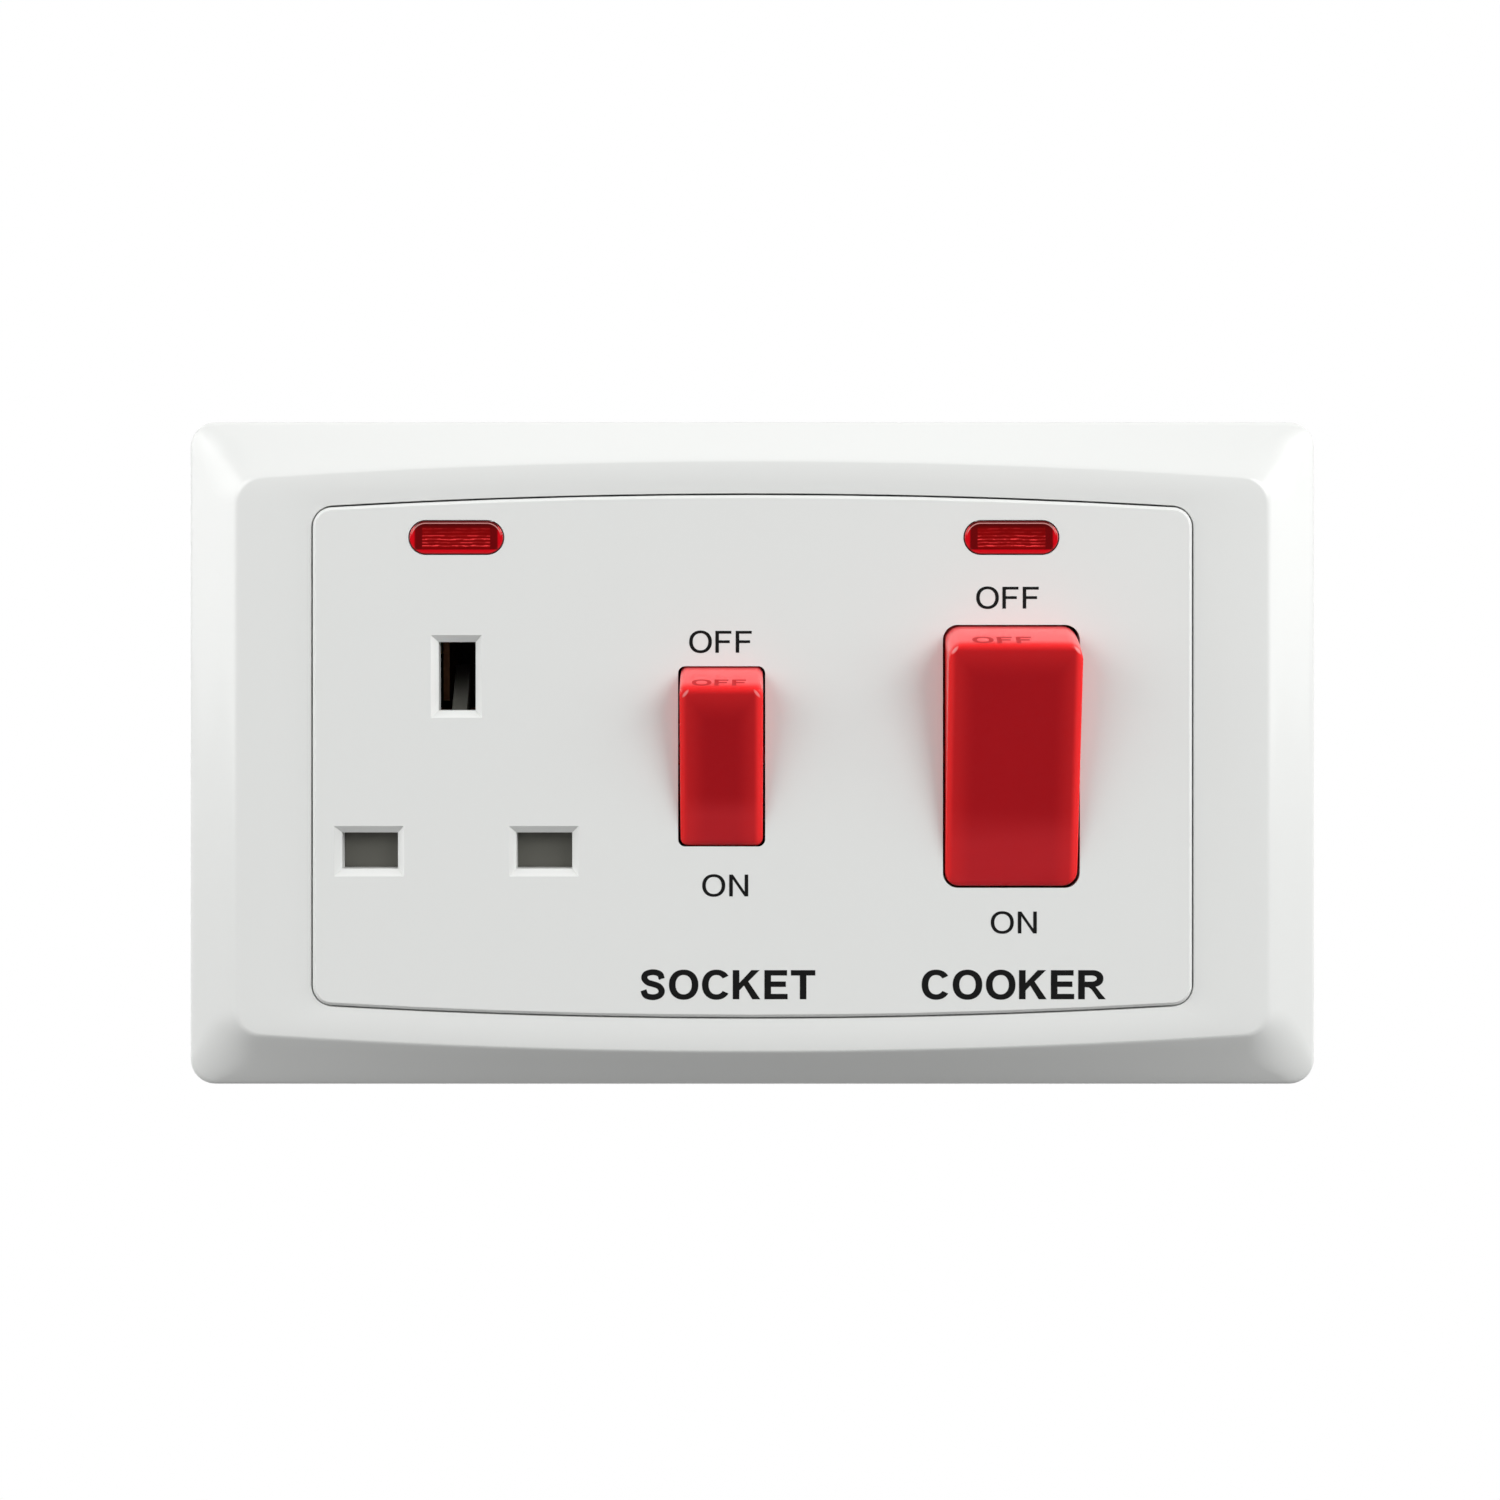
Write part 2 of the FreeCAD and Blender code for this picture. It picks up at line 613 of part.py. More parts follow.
def build_front_plate():
    body = new_body("front_plate")
    flange = rounded_rectangle(front_sketch(body, "flange_outline", 0), "-places.flange_x",
                               "places.flange_x", "-places.flange_z", "places.flange_z",
                               "sizes.panel_corner")
    pad(body, "flange", flange, "sizes.flange_thick")
    panel = bowed_outline(front_sketch(body, "panel_outline", 0), "places.panel_x",
                          "sizes.panel_height / 2", "sizes.panel_corner", "sizes.bow_radius")
    raised = pad(body, "panel", panel, "sizes.panel_depth")
    bevel_edges(body, "panel_edge", raised, "sizes.panel_bevel", edge_at_y("-sizes.panel_depth"))
    tub = bowed_outline(front_sketch(body, "tub_outline", 0), "places.tub_inner_x",
                        "places.tub_inner_z", "sizes.panel_corner", "sizes.bow_radius - sizes.tub_wall")
    pocket(body, "tub", tub, "sizes.panel_depth - sizes.panel_slab", forward=True)

    bosses = circles(front_sketch(body, "fixing_boss_outlines", 0),
                     [("places.fixing_x", 0), ("-places.fixing_x", 0)],
                     "sizes.fixing_boss / 2")
    boss_depth = "sizes.flange_thick + sizes.fixing_boss_rise"
    pad(body, "fixing_bosses", bosses, boss_depth)
    holes = circles(front_sketch(body, "fixing_hole_outlines", f"-({boss_depth})"),
                    [("places.fixing_x", 0), ("-places.fixing_x", 0)],
                    "sizes.fixing_bore / 2")
    pocket(body, "fixing_holes", holes, boss_depth)
    slots = front_sketch(body, "tongue_slot_outlines", "-sizes.flange_thick")
    for side in ("", "-"):
        for level in ("", "-"):
            rectangle(slots,
                      f"{side}places.fixing_x - sizes.tongue_thick / 2 - sizes.tongue_clearance",
                      f"{side}places.fixing_x + sizes.tongue_thick / 2 + sizes.tongue_clearance",
                      f"{level}sizes.tongue_pitch / 2 - sizes.tongue_width / 2 - sizes.tongue_clearance",
                      f"{level}sizes.tongue_pitch / 2 + sizes.tongue_width / 2 + sizes.tongue_clearance")
    pocket(body, "tongue_slots", slots, "sizes.flange_thick")

    build_pivot_bosses(body, "cooker")
    build_pivot_bosses(body, "switch")
    screws = [(f"{side}places.housing_screw_x", f"{level}places.housing_screw_z")
              for side in ("", "-") for level in ("", "-")]
    seats = circles(front_sketch(body, "housing_boss_outlines", "places.panel_back_y"), screws,
                    "sizes.housing_boss_radius")
    pad(body, "housing_bosses", seats, "-sizes.housing_step - places.panel_back_y", back=True)
    bores = circles(front_sketch(body, "housing_boss_bores", "-sizes.housing_step"), screws,
                    "sizes.housing_screw_radius + sizes.screw_clearance")
    pocket(body, "housing_bores", bores, "-sizes.housing_step - places.panel_back_y", forward=True)

    left = "places.socket_x - places.shutter_half - sizes.shutter_clearance"
    right = "places.socket_x + places.shutter_half + sizes.shutter_clearance"
    low = "places.shutter_low_z - sizes.shutter_drop"
    guides = front_sketch(body, "shutter_guide_outlines", "places.panel_back_y")
    rectangle(guides, "-places.tub_inner_x - sizes.tub_wall / 2", left, low, "places.shutter_top_z")
    rectangle(guides, right, f"{right} + sizes.tub_wall / 2", low, "places.shutter_top_z")
    rectangle(guides, "places.socket_x - sizes.shutter_arm / 2",
              "places.socket_x + sizes.shutter_arm / 2", "-places.tub_inner_z - sizes.tub_wall / 2",
              "places.shutter_seat_z")
    guide_depth = "-sizes.housing_step - places.panel_back_y - sizes.housing_gap"
    pad(body, "shutter_guides", guides, guide_depth, back=True)

    lenses = front_sketch(body, "lens_window_outlines", "-sizes.panel_depth")
    for x in ("places.socket_x", "places.cooker_x"):
        stadium(lenses, x, "places.lens_z", "sizes.lens_width", "sizes.lens_height")
    pocket(body, "lens_windows", lenses, "sizes.panel_slab")
    build_rocker_window(body, "cooker")
    build_rocker_window(body, "switch")
    pins = front_sketch(body, "pin_window_outlines", "-sizes.panel_depth")
    for x, z, width, height in (
            ("places.live_x", "sizes.line_z", "sizes.line_window_width", "sizes.line_window_height"),
            ("places.neutral_x", "sizes.line_z", "sizes.line_window_width", "sizes.line_window_height"),
            ("places.socket_x", "places.earth_z", "sizes.earth_window_width",
             "sizes.earth_window_height")):
        rectangle(pins, f"{x} - {width} / 2", f"{x} + {width} / 2", f"{z} - {height} / 2",
                  f"{z} + {height} / 2")
    windows = pocket(body, "pin_windows", pins, "sizes.panel_slab")
    face = edge_at_y("-sizes.panel_depth")
    spots = [(number(x), number(z)) for x, z in (("places.live_x", "sizes.line_z"),
                                                 ("places.neutral_x", "sizes.line_z"),
                                                 ("places.socket_x", "places.earth_z"))]

    def round_a_pin_window(edge):
        middle = edge.CenterOfMass
        reach = number("sizes.earth_window_height")
        near = any(math.hypot(middle.x - x, middle.z - z) < reach for x, z in spots)
        return face(edge) and near

    bevel_edges(body, "pin_window_chamfers", windows, "sizes.pin_chamfer", round_a_pin_window)
    return body


def build_pivot_bosses(body, which):
    """Blocks each side of a rocker window, with U slots open to the back for the trunnions."""
    half = f"sizes.{which}_window_width / 2"
    reach = "sizes.trunnion_reach + sizes.trunnion_end_gap"
    bosses = front_sketch(body, f"{which}_boss_outlines", "places.panel_back_y")
    for sign in ("-", "+"):
        inner = f"places.{which}_x {sign} {half}"
        outer = f"places.{which}_x {sign} ({half} + {reach} + sizes.pivot_boss_wall)"
        first, last = (outer, inner) if sign == "-" else (inner, outer)
        rectangle(bosses, first, last, "-sizes.pivot_boss_height / 2", "sizes.pivot_boss_height / 2")
    pad(body, f"{which}_bosses", bosses, "sizes.pivot_boss_rise", back=True)
    radius = "(sizes.trunnion_radius + sizes.trunnion_clearance)"
    slot = side_sketch(body, f"{which}_slot_outline", f"places.{which}_x")
    y, r = number("places.pivot_y"), number(radius)
    far = number("places.panel_back_y + sizes.pivot_boss_rise")
    nose = draw_arc(slot, (y, 0), r, math.pi / 2, 3 * math.pi / 2)
    low_side = draw_line(slot, (y, -r), (far, -r))
    mouth = draw_line(slot, (far, -r), (far, r))
    high_side = draw_line(slot, (far, r), (y, r))
    tie(slot, "Tangent", nose, 2, low_side, 1)
    tie(slot, "Coincident", low_side, 2, mouth, 1)
    tie(slot, "Coincident", mouth, 2, high_side, 1)
    tie(slot, "Tangent", high_side, 2, nose, 1)
    tie(slot, "Vertical", mouth)
    tie(slot, "Horizontal", low_side)
    bind(slot, radius, "Radius", nose)
    bind(slot, "places.pivot_y", "DistanceX", -1, 1, nose, 3)
    tie(slot, "PointOnObject", nose, 3, -1)
    bind(slot, "places.panel_back_y + sizes.pivot_boss_rise", "DistanceX", -1, 1, mouth, 1)
    pocket(body, f"{which}_slots", slot, f"sizes.{which}_window_width + 2 * ({reach})", both=True)


def build_rocker_window(body, which):
    """A window whose ends are arcs about the rocker's pivot, with rounded corners."""
    ring = circles(side_sketch(body, f"{which}_window_outline", f"places.{which}_x"),
                   [("places.pivot_y", 0)], f"places.{which}_ring")
    window = pocket(body, f"{which}_window", ring, f"sizes.{which}_window_width", both=True)
    radius = number(f"places.{which}_ring")

    def at_a_corner(edge):
        return isinstance(edge.Curve, Part.Circle) and abs(edge.Curve.Radius - radius) < 1e-4

    round_edges(body, f"{which}_window_corners", window, f"sizes.{which}_window_corner", at_a_corner)


# Rockers, drawn about their pivot axis and then tipped to the ON position

def build_rocker(which, stems):
    """A hollow rocker whose ends are two flats inside its window's arc, with stems for the plungers."""
    body = new_body(f"{which}_rocker")
    ring = f"(places.{which}_ring - sizes.window_gap)"
    face = f"(sizes.pivot_setback + sizes.{which}_proud)"
    width = f"(sizes.{which}_window_width - 2 * sizes.window_gap)"
    top = f"sqrt({ring} ^ 2 - {face} ^ 2)"
    rear = f"sqrt({ring} ^ 2 - sizes.rocker_back ^ 2)"
    section = polygon(side_sketch(body, f"{which}_section", 0), [
        (f"-{face}", top), (f"-{face}", f"-{top}"), (0, f"-{ring}"), ("sizes.rocker_back", f"-{rear}"),
        ("sizes.rocker_back", rear), (0, ring)])
    solid = pad(body, f"{which}_solid", section, width, both=True)
    half_width = number(width) / 2

    def at_an_end(edge):
        at_a_side = abs(abs(edge.CenterOfMass.x) - half_width) < 1e-4
        return at_a_side and edge.BoundBox.YLength > 1e-3

    corner = f"sizes.{which}_window_corner"
    solid = round_edges(body, f"{which}_corners", solid, corner, at_an_end)
    bevel_edges(body, f"{which}_face_edges", solid, "sizes.rocker_bevel", edge_at_y(f"-{face}"))
    wall = "sizes.rocker_wall"
    inner_x = f"({width} / 2 - {wall})"
    inner_z = f"({top} - {wall})"
    hollow = rectangle(front_sketch(body, f"{which}_hollow_outline", "sizes.rocker_back"),
                       f"-{inner_x}", inner_x, f"-{inner_z}", inner_z)
    pocket(body, f"{which}_hollow", hollow, f"sizes.rocker_back + {face} - {wall}", forward=True)
    axle = circles(side_sketch(body, f"{which}_axle_outline", 0), [(0, 0)], "sizes.trunnion_radius")
    pad(body, f"{which}_axle", axle, f"{width} + 2 * sizes.trunnion_reach", both=True)
    posts = circles(front_sketch(body, f"{which}_stem_outlines", f"{wall} - {face}"),
                    [(x, 0) for x in stems], "sizes.stem_radius")
    pad(body, f"{which}_stems", posts, f"{face} - {wall} + places.stem_reach", back=True)
    bores = circles(front_sketch(body, f"{which}_stem_bores", "places.stem_reach"),
                    [(x, 0) for x in stems], "sizes.stem_bore")
    pocket(body, f"{which}_bores", bores, "places.stem_reach - sizes.stem_bore_start", forward=True)
    tip_about_pivot(body, f"places.{which}_x", "places.pivot_y", f"sizes.{which}_tilt")
    return body


def tip_about_pivot(piece, x, y, tilt):
    """Turns a piece about the X axis through its own origin and puts that origin on its pivot."""
    piece.Placement = FreeCAD.Placement(Vector(), FreeCAD.Rotation(Vector(1, 0, 0), 1))
    piece.setExpression("Placement.Rotation.Angle", tilt)
    put(piece, x, y, 0)


def build_plunger(name, which, x):
    """A pin with a coned nose that slides in a rocker's stem."""
    body = new_body(name)
    section = circles(front_sketch(body, f"{name}_section", "places.plunger_tip"), [(0, 0)],
                      "sizes.stem_bore - sizes.plunger_clearance")
    pin = pad(body, f"{name}_pin", section, "sizes.plunger_length")
    bevel_edges(body, f"{name}_nose", pin, "sizes.plunger_nose", edge_at_y("places.plunger_tip"))
    tip_about_pivot(body, x, "places.pivot_y", f"sizes.{which}_tilt")
    return body


def build_spring(name, radius, length):
    """A compression spring along Z from its own origin, drawn as the sleeve that its wire fills."""
    outside = rod(f"{name}_outside", "z", (0, 0, 0), length, radius)
    inside = rod(f"{name}_inside", "z", (0, 0, 0), length, f"{radius} - sizes.spring_wire")
    return cut(name, outside, [inside])


def build_plunger_spring(name, which, x):
    start = "(sizes.stem_bore_start + sizes.spring_clearance)"
    length = f"(places.plunger_tip - sizes.plunger_length - {start} - sizes.spring_clearance)"
    spring = build_spring(name, "(sizes.stem_bore - sizes.spring_side_clearance)", length)
    tilt = f"sizes.{which}_tilt"
    spring.Placement = FreeCAD.Placement(Vector(), FreeCAD.Rotation(Vector(1, 0, 0), -80))
    spring.setExpression("Placement.Rotation.Angle", f"{tilt} - 90")
    put(spring, x, f"places.pivot_y + {start} * cos({tilt})", f"{start} * sin({tilt})")
    return spring


# Contacts

def build_bar(name, half, tip_z, x):
    """A see-saw contact bar with a saddle for the plunger's nose, tipped to the closed position."""
    axle_end = "(places.ear_outer + sizes.bar_trunnion_overhang)"
    pieces = [
        block(f"{name}_leaf", ("-sizes.bar_width / 2", "sizes.bar_width / 2"),
              ("-sizes.bar_lead", "places.bar_back"), (f"-{half}", half)),
        rod(f"{name}_axle", "x", (f"-{axle_end}", 0, 0), f"2 * {axle_end}", "sizes.bar_trunnion"),
        rod(f"{name}_tip", "y", (0, "places.bar_back", tip_z), "sizes.tip_thick", "sizes.tip_radius"),
    ]
    saddle = rod(f"{name}_saddle", "x",
                 ("-sizes.bar_width / 2", "sizes.saddle_depth - sizes.bar_lead - sizes.saddle_radius", 0),
                 "sizes.bar_width", "sizes.saddle_radius")
    bar = cut(name, join(f"{name}_solid", pieces), [saddle])
    bar.Placement = FreeCAD.Placement(Vector(), FreeCAD.Rotation(Vector(1, 0, 0), -1))
    bar.setExpression("Placement.Rotation.Angle", "-sizes.bar_tilt")
    put(bar, x, "places.bar_pivot_y", 0)
    return bar


def bracket_pieces(name, x, low):
    """Ears and base of a bar's pivot bracket, with its strip down to a low end."""
    strip = ("places.strip_front_y", "places.strip_back_y")
    ears = ("-sizes.ear_half", "sizes.ear_half")
    front = "places.bar_pivot_y - sizes.ear_half"
    return [
        block(f"{name}_base", (f"{x} - places.ear_outer", f"{x} + places.ear_outer"), strip, ears),
        block(f"{name}_left_ear", (f"{x} - places.ear_outer", f"{x} - places.ear_inner"),
              (front, "places.strip_back_y"), ears),
        block(f"{name}_right_ear", (f"{x} + places.ear_inner", f"{x} + places.ear_outer"),
              (front, "places.strip_back_y"), ears),
        block(f"{name}_strip", (f"{x} - sizes.bar_width / 2", f"{x} + sizes.bar_width / 2"), strip,
              (low, 0)),
    ]


def pivot_bore(name, x):
    return rod(f"{name}_bore", "x", (f"{x} - places.ear_outer", "places.bar_pivot_y", 0),
               "2 * places.ear_outer", "sizes.bar_trunnion + sizes.bar_trunnion_clearance")


def build_cooker_bracket(name, x):
    """Pivot bracket whose strip runs down to the incoming terminal and folds along it."""
    fold = block(f"{name}_fold", (f"{x} - sizes.bar_width / 2", f"{x} + sizes.bar_width / 2"),
                 ("places.fold_front_y", "places.strip_back_y"),
                 ("-places.terminal_z", "-places.terminal_z + sizes.strip_thick"))
    solid = join(f"{name}_solid", bracket_pieces(name, x, "-places.terminal_z") + [fold])
    return cut(name, solid, [pivot_bore(name, x)])


def build_cooker_contact(name, x):
    """Fixed contact folded along the outgoing terminal, with its silver tip."""
    half = "sizes.bar_width / 2"
    strip = ("places.strip_front_y", "places.strip_back_y")
    return join(name, [
        block(f"{name}_strip", (f"{x} - {half}", f"{x} + {half}"), strip,
              ("places.cooker_tip_z - sizes.tip_radius - sizes.strip_margin", "places.terminal_z")),
        block(f"{name}_fold", (f"{x} - {half}", f"{x} + {half}"),
              ("places.fold_front_y", "places.strip_back_y"),
              ("places.terminal_z - sizes.strip_thick", "places.terminal_z")),
        rod(f"{name}_tip", "y", (x, "places.cooker_tip_y", "places.cooker_tip_z"),
            "places.strip_front_y - places.cooker_tip_y", "sizes.tip_radius"),
    ])


def build_socket_bracket():
    """Pivot bracket of the socket's switch, linked to the incoming live bracket."""
    name, x = "socket_bracket", "places.switch_x"
    link_z = ("sizes.link_gap - places.terminal_z",
              "sizes.link_gap + sizes.link_width - places.terminal_z")
    link = block("socket_bracket_link", (f"{x} - sizes.bar_width / 2",
                                         "places.cooker_live_x - sizes.bar_width / 2"),
                 ("places.strip_front_y", "places.strip_back_y"), link_z)
    solid = join("socket_bracket_solid", bracket_pieces(name, x, link_z[0]) + [link])
    return cut(name, solid, [pivot_bore(name, x)])


def clip_pieces(name, x):
    """Two leaves above and below a flat pin, joined by a web behind its tip."""
    across = (f"{x} - sizes.clip_width / 2", f"{x} + sizes.clip_width / 2")
    inner, outer = "sizes.clip_gap / 2", "(sizes.clip_gap / 2 + sizes.clip_leaf)"
    along = ("sizes.clip_front_y", "places.clip_back_y")
    return [
        block(f"{name}_upper", across, along, (f"sizes.line_z + {inner}", f"sizes.line_z + {outer}")),
        block(f"{name}_lower", across, along, (f"sizes.line_z - {outer}", f"sizes.line_z - {inner}")),
        block(f"{name}_web", across, ("places.clip_back_y - sizes.clip_leaf", "places.clip_back_y"),
              (f"sizes.line_z - {outer}", f"sizes.line_z + {outer}")),
    ]


def build_live_clip():
    """Live clip in one strip with the fixed contact of the socket's switch."""
    x, back = "places.live_x", "places.live_strip_y"
    front = f"{back} - sizes.clip_leaf"
    half = "sizes.run_width / 2"
    across = (f"{x} - {half}", f"{x} + {half}")
    run = ("places.live_run_z - sizes.run_width", "places.live_run_z")
    return join("live_clip", clip_pieces("live_clip", x) + [
        block("live_clip_post", across, ("places.clip_back_y", back),
              ("sizes.line_z - sizes.clip_foot", "sizes.line_z + sizes.clip_foot")),
        block("live_clip_riser", across, (front, back), ("sizes.line_z - sizes.clip_foot", run[1])),
        block("live_clip_run", (f"{x} - {half}", f"places.switch_x + {half}"), (front, back), run),
        block("live_clip_head", (f"places.switch_x - {half}", f"places.switch_x + {half}"),
              (front, back), (run[0], "places.switch_tip_z + sizes.tip_radius")),
        rod("live_clip_tip", "y", ("places.switch_x", "places.switch_tip_y", "places.switch_tip_z"),
            f"{back} - places.switch_tip_y", "sizes.tip_radius"),
    ])


def build_neutral_clip():
    """Neutral clip in one strip with its link to the incoming neutral bracket."""
    top = "sizes.line_z + sizes.clip_gap / 2 + sizes.clip_leaf"
    low = f"{top} - sizes.neutral_link_overlap"
    run_z = (low, f"{low} + sizes.neutral_link_height")
    near = "places.strip_front_y - sizes.neutral_link_gap"
    run_y = (f"{near} - sizes.clip_leaf", near)
    foot = ("places.cooker_neutral_x - sizes.run_width / 2",
            "places.cooker_neutral_x + sizes.run_width / 2")
    return join("neutral_clip", clip_pieces("neutral_clip", "places.neutral_x") + [
        block("neutral_clip_run", ("places.neutral_x", foot[1]), run_y, run_z),
        block("neutral_clip_foot", foot, (run_y[0], "places.strip_front_y"), run_z),
    ])


def build_earth_clip():
    """Two leaves each side of the earth pin, hung from a strap between the earth terminals."""
    x = "places.socket_x"
    inner, outer = "sizes.clip_gap / 2", "(sizes.clip_gap / 2 + sizes.clip_leaf)"
    high = "places.earth_z + sizes.earth_window_height / 2 + sizes.earth_strap_gap"
    low = "places.earth_low_z + sizes.earth_foot_gap"
    along = ("sizes.clip_front_y", "places.earth_back_y")
    reach = "(sizes.terminal_pitch - sizes.terminal_width) / 2"
    return join("earth_clip", [
        block("earth_clip_left", (f"{x} - {outer}", f"{x} - {inner}"), along, (low, high)),
        block("earth_clip_right", (f"{x} + {inner}", f"{x} + {outer}"), along, (low, high)),
        block("earth_clip_strap", (f"{x} - {reach}", f"{x} + {reach}"),
              ("places.fold_front_y", "places.earth_back_y"),
              (high, f"{high} + sizes.clip_leaf")),
    ])


TERMINALS = {
    "cooker_live_out_terminal": ("places.cooker_live_x", 1),
    "cooker_neutral_out_terminal": ("places.cooker_neutral_x", 1),
    "cooker_live_in_terminal": ("places.cooker_live_x", -1),
    "cooker_neutral_in_terminal": ("places.cooker_neutral_x", -1),
    "left_earth_terminal": ("places.socket_x - sizes.terminal_pitch / 2", 1),
    "right_earth_terminal": ("places.socket_x + sizes.terminal_pitch / 2", 1),
}


def build_terminal(name, x, side):
    """A brass block with a wire bore open away from the middle and a screw hole from behind."""
    inner, outer = "places.terminal_z", "places.chamber_z"
    low, high = (inner, outer) if side > 0 else (f"-{outer}", f"-{inner}")
    middle = f"({low} + ({high})) / 2"
    half = "(sizes.terminal_width / 2 - sizes.terminal_clearance)"
    body = block(f"{name}_block", (f"{x} - {half}", f"{x} + {half}"),
                 ("places.terminal_front_y", "places.housing_floor_y"), (low, high))
    start = f"{low} + sizes.wire_wall" if side > 0 else low
    bore = rod(f"{name}_wire_bore", "z", (x, "places.wire_y", start),
               "sizes.terminal_length - sizes.wire_wall", "sizes.wire_bore / 2")
    thread = rod(f"{name}_screw_bore", "y", (x, "places.wire_y", middle),
                 "places.housing_floor_y - places.wire_y", "sizes.screw_radius + sizes.screw_clearance")
    return cut(name, body, [bore, thread])


def terminal_middle(side):
    sign = "" if side > 0 else "-"
    return f"{sign}(places.terminal_z + places.chamber_z) / 2"


def build_terminal_screws():
    """Six slotted screws whose tips stop at the wire bores."""
    pieces = []
    for name, (x, side) in TERMINALS.items():
        z = terminal_middle(side)
        start = "places.wire_y + sizes.wire_bore / 2"
        head = "(sizes.housing_depth - sizes.screw_recess)"
        shank = rod(f"{name}_screw_shank", "y", (x, start, z), f"{head} - ({start})", "sizes.screw_radius")
        slot = block(f"{name}_screw_slot", (f"{x} - sizes.screw_radius", f"{x} + sizes.screw_radius"),
                     (f"{head} - sizes.screw_slot_depth", head),
                     (f"{z} - sizes.screw_slot / 2", f"{z} + sizes.screw_slot / 2"))
        pieces.append(cut(f"{name}_screw", shank, [slot]))
    return join("terminal_screws", pieces)


def build_housing_screws():
    """Four screws through the housing's flange into the bosses of the front plate."""
    pieces = []
    for i, (side, level) in enumerate((("", ""), ("", "-"), ("-", ""), ("-", "-")), start=1):
        x, z = f"{side}places.housing_screw_x", f"{level}places.housing_screw_z"
        seat = "sizes.housing_flange_thick - sizes.housing_step"
        tip = "places.panel_back_y + sizes.screw_tip_gap"
        shank = rod(f"housing_screw_{i}_shank", "y", (x, tip, z), f"{seat} - ({tip})",
                    "sizes.housing_screw_radius")
        head = rod(f"housing_screw_{i}_head", "y", (x, seat, z), "sizes.housing_screw_head_thick",
                   "sizes.housing_screw_head")
        top = f"{seat} + sizes.housing_screw_head_thick"
        slot = block(f"housing_screw_{i}_slot", (f"{x} - sizes.housing_screw_head",
                                                 f"{x} + sizes.housing_screw_head"),
                     (f"{top} - sizes.screw_slot_depth", top),
                     (f"{z} - sizes.screw_slot / 2", f"{z} + sizes.screw_slot / 2"))
        pieces.append(cut(f"housing_screw_{i}", join(f"housing_screw_{i}_solid", [shank, head]), [slot]))
    return join("housing_screws", pieces)


# Rear housing: chambers open to the front, with wire entries and driver holes

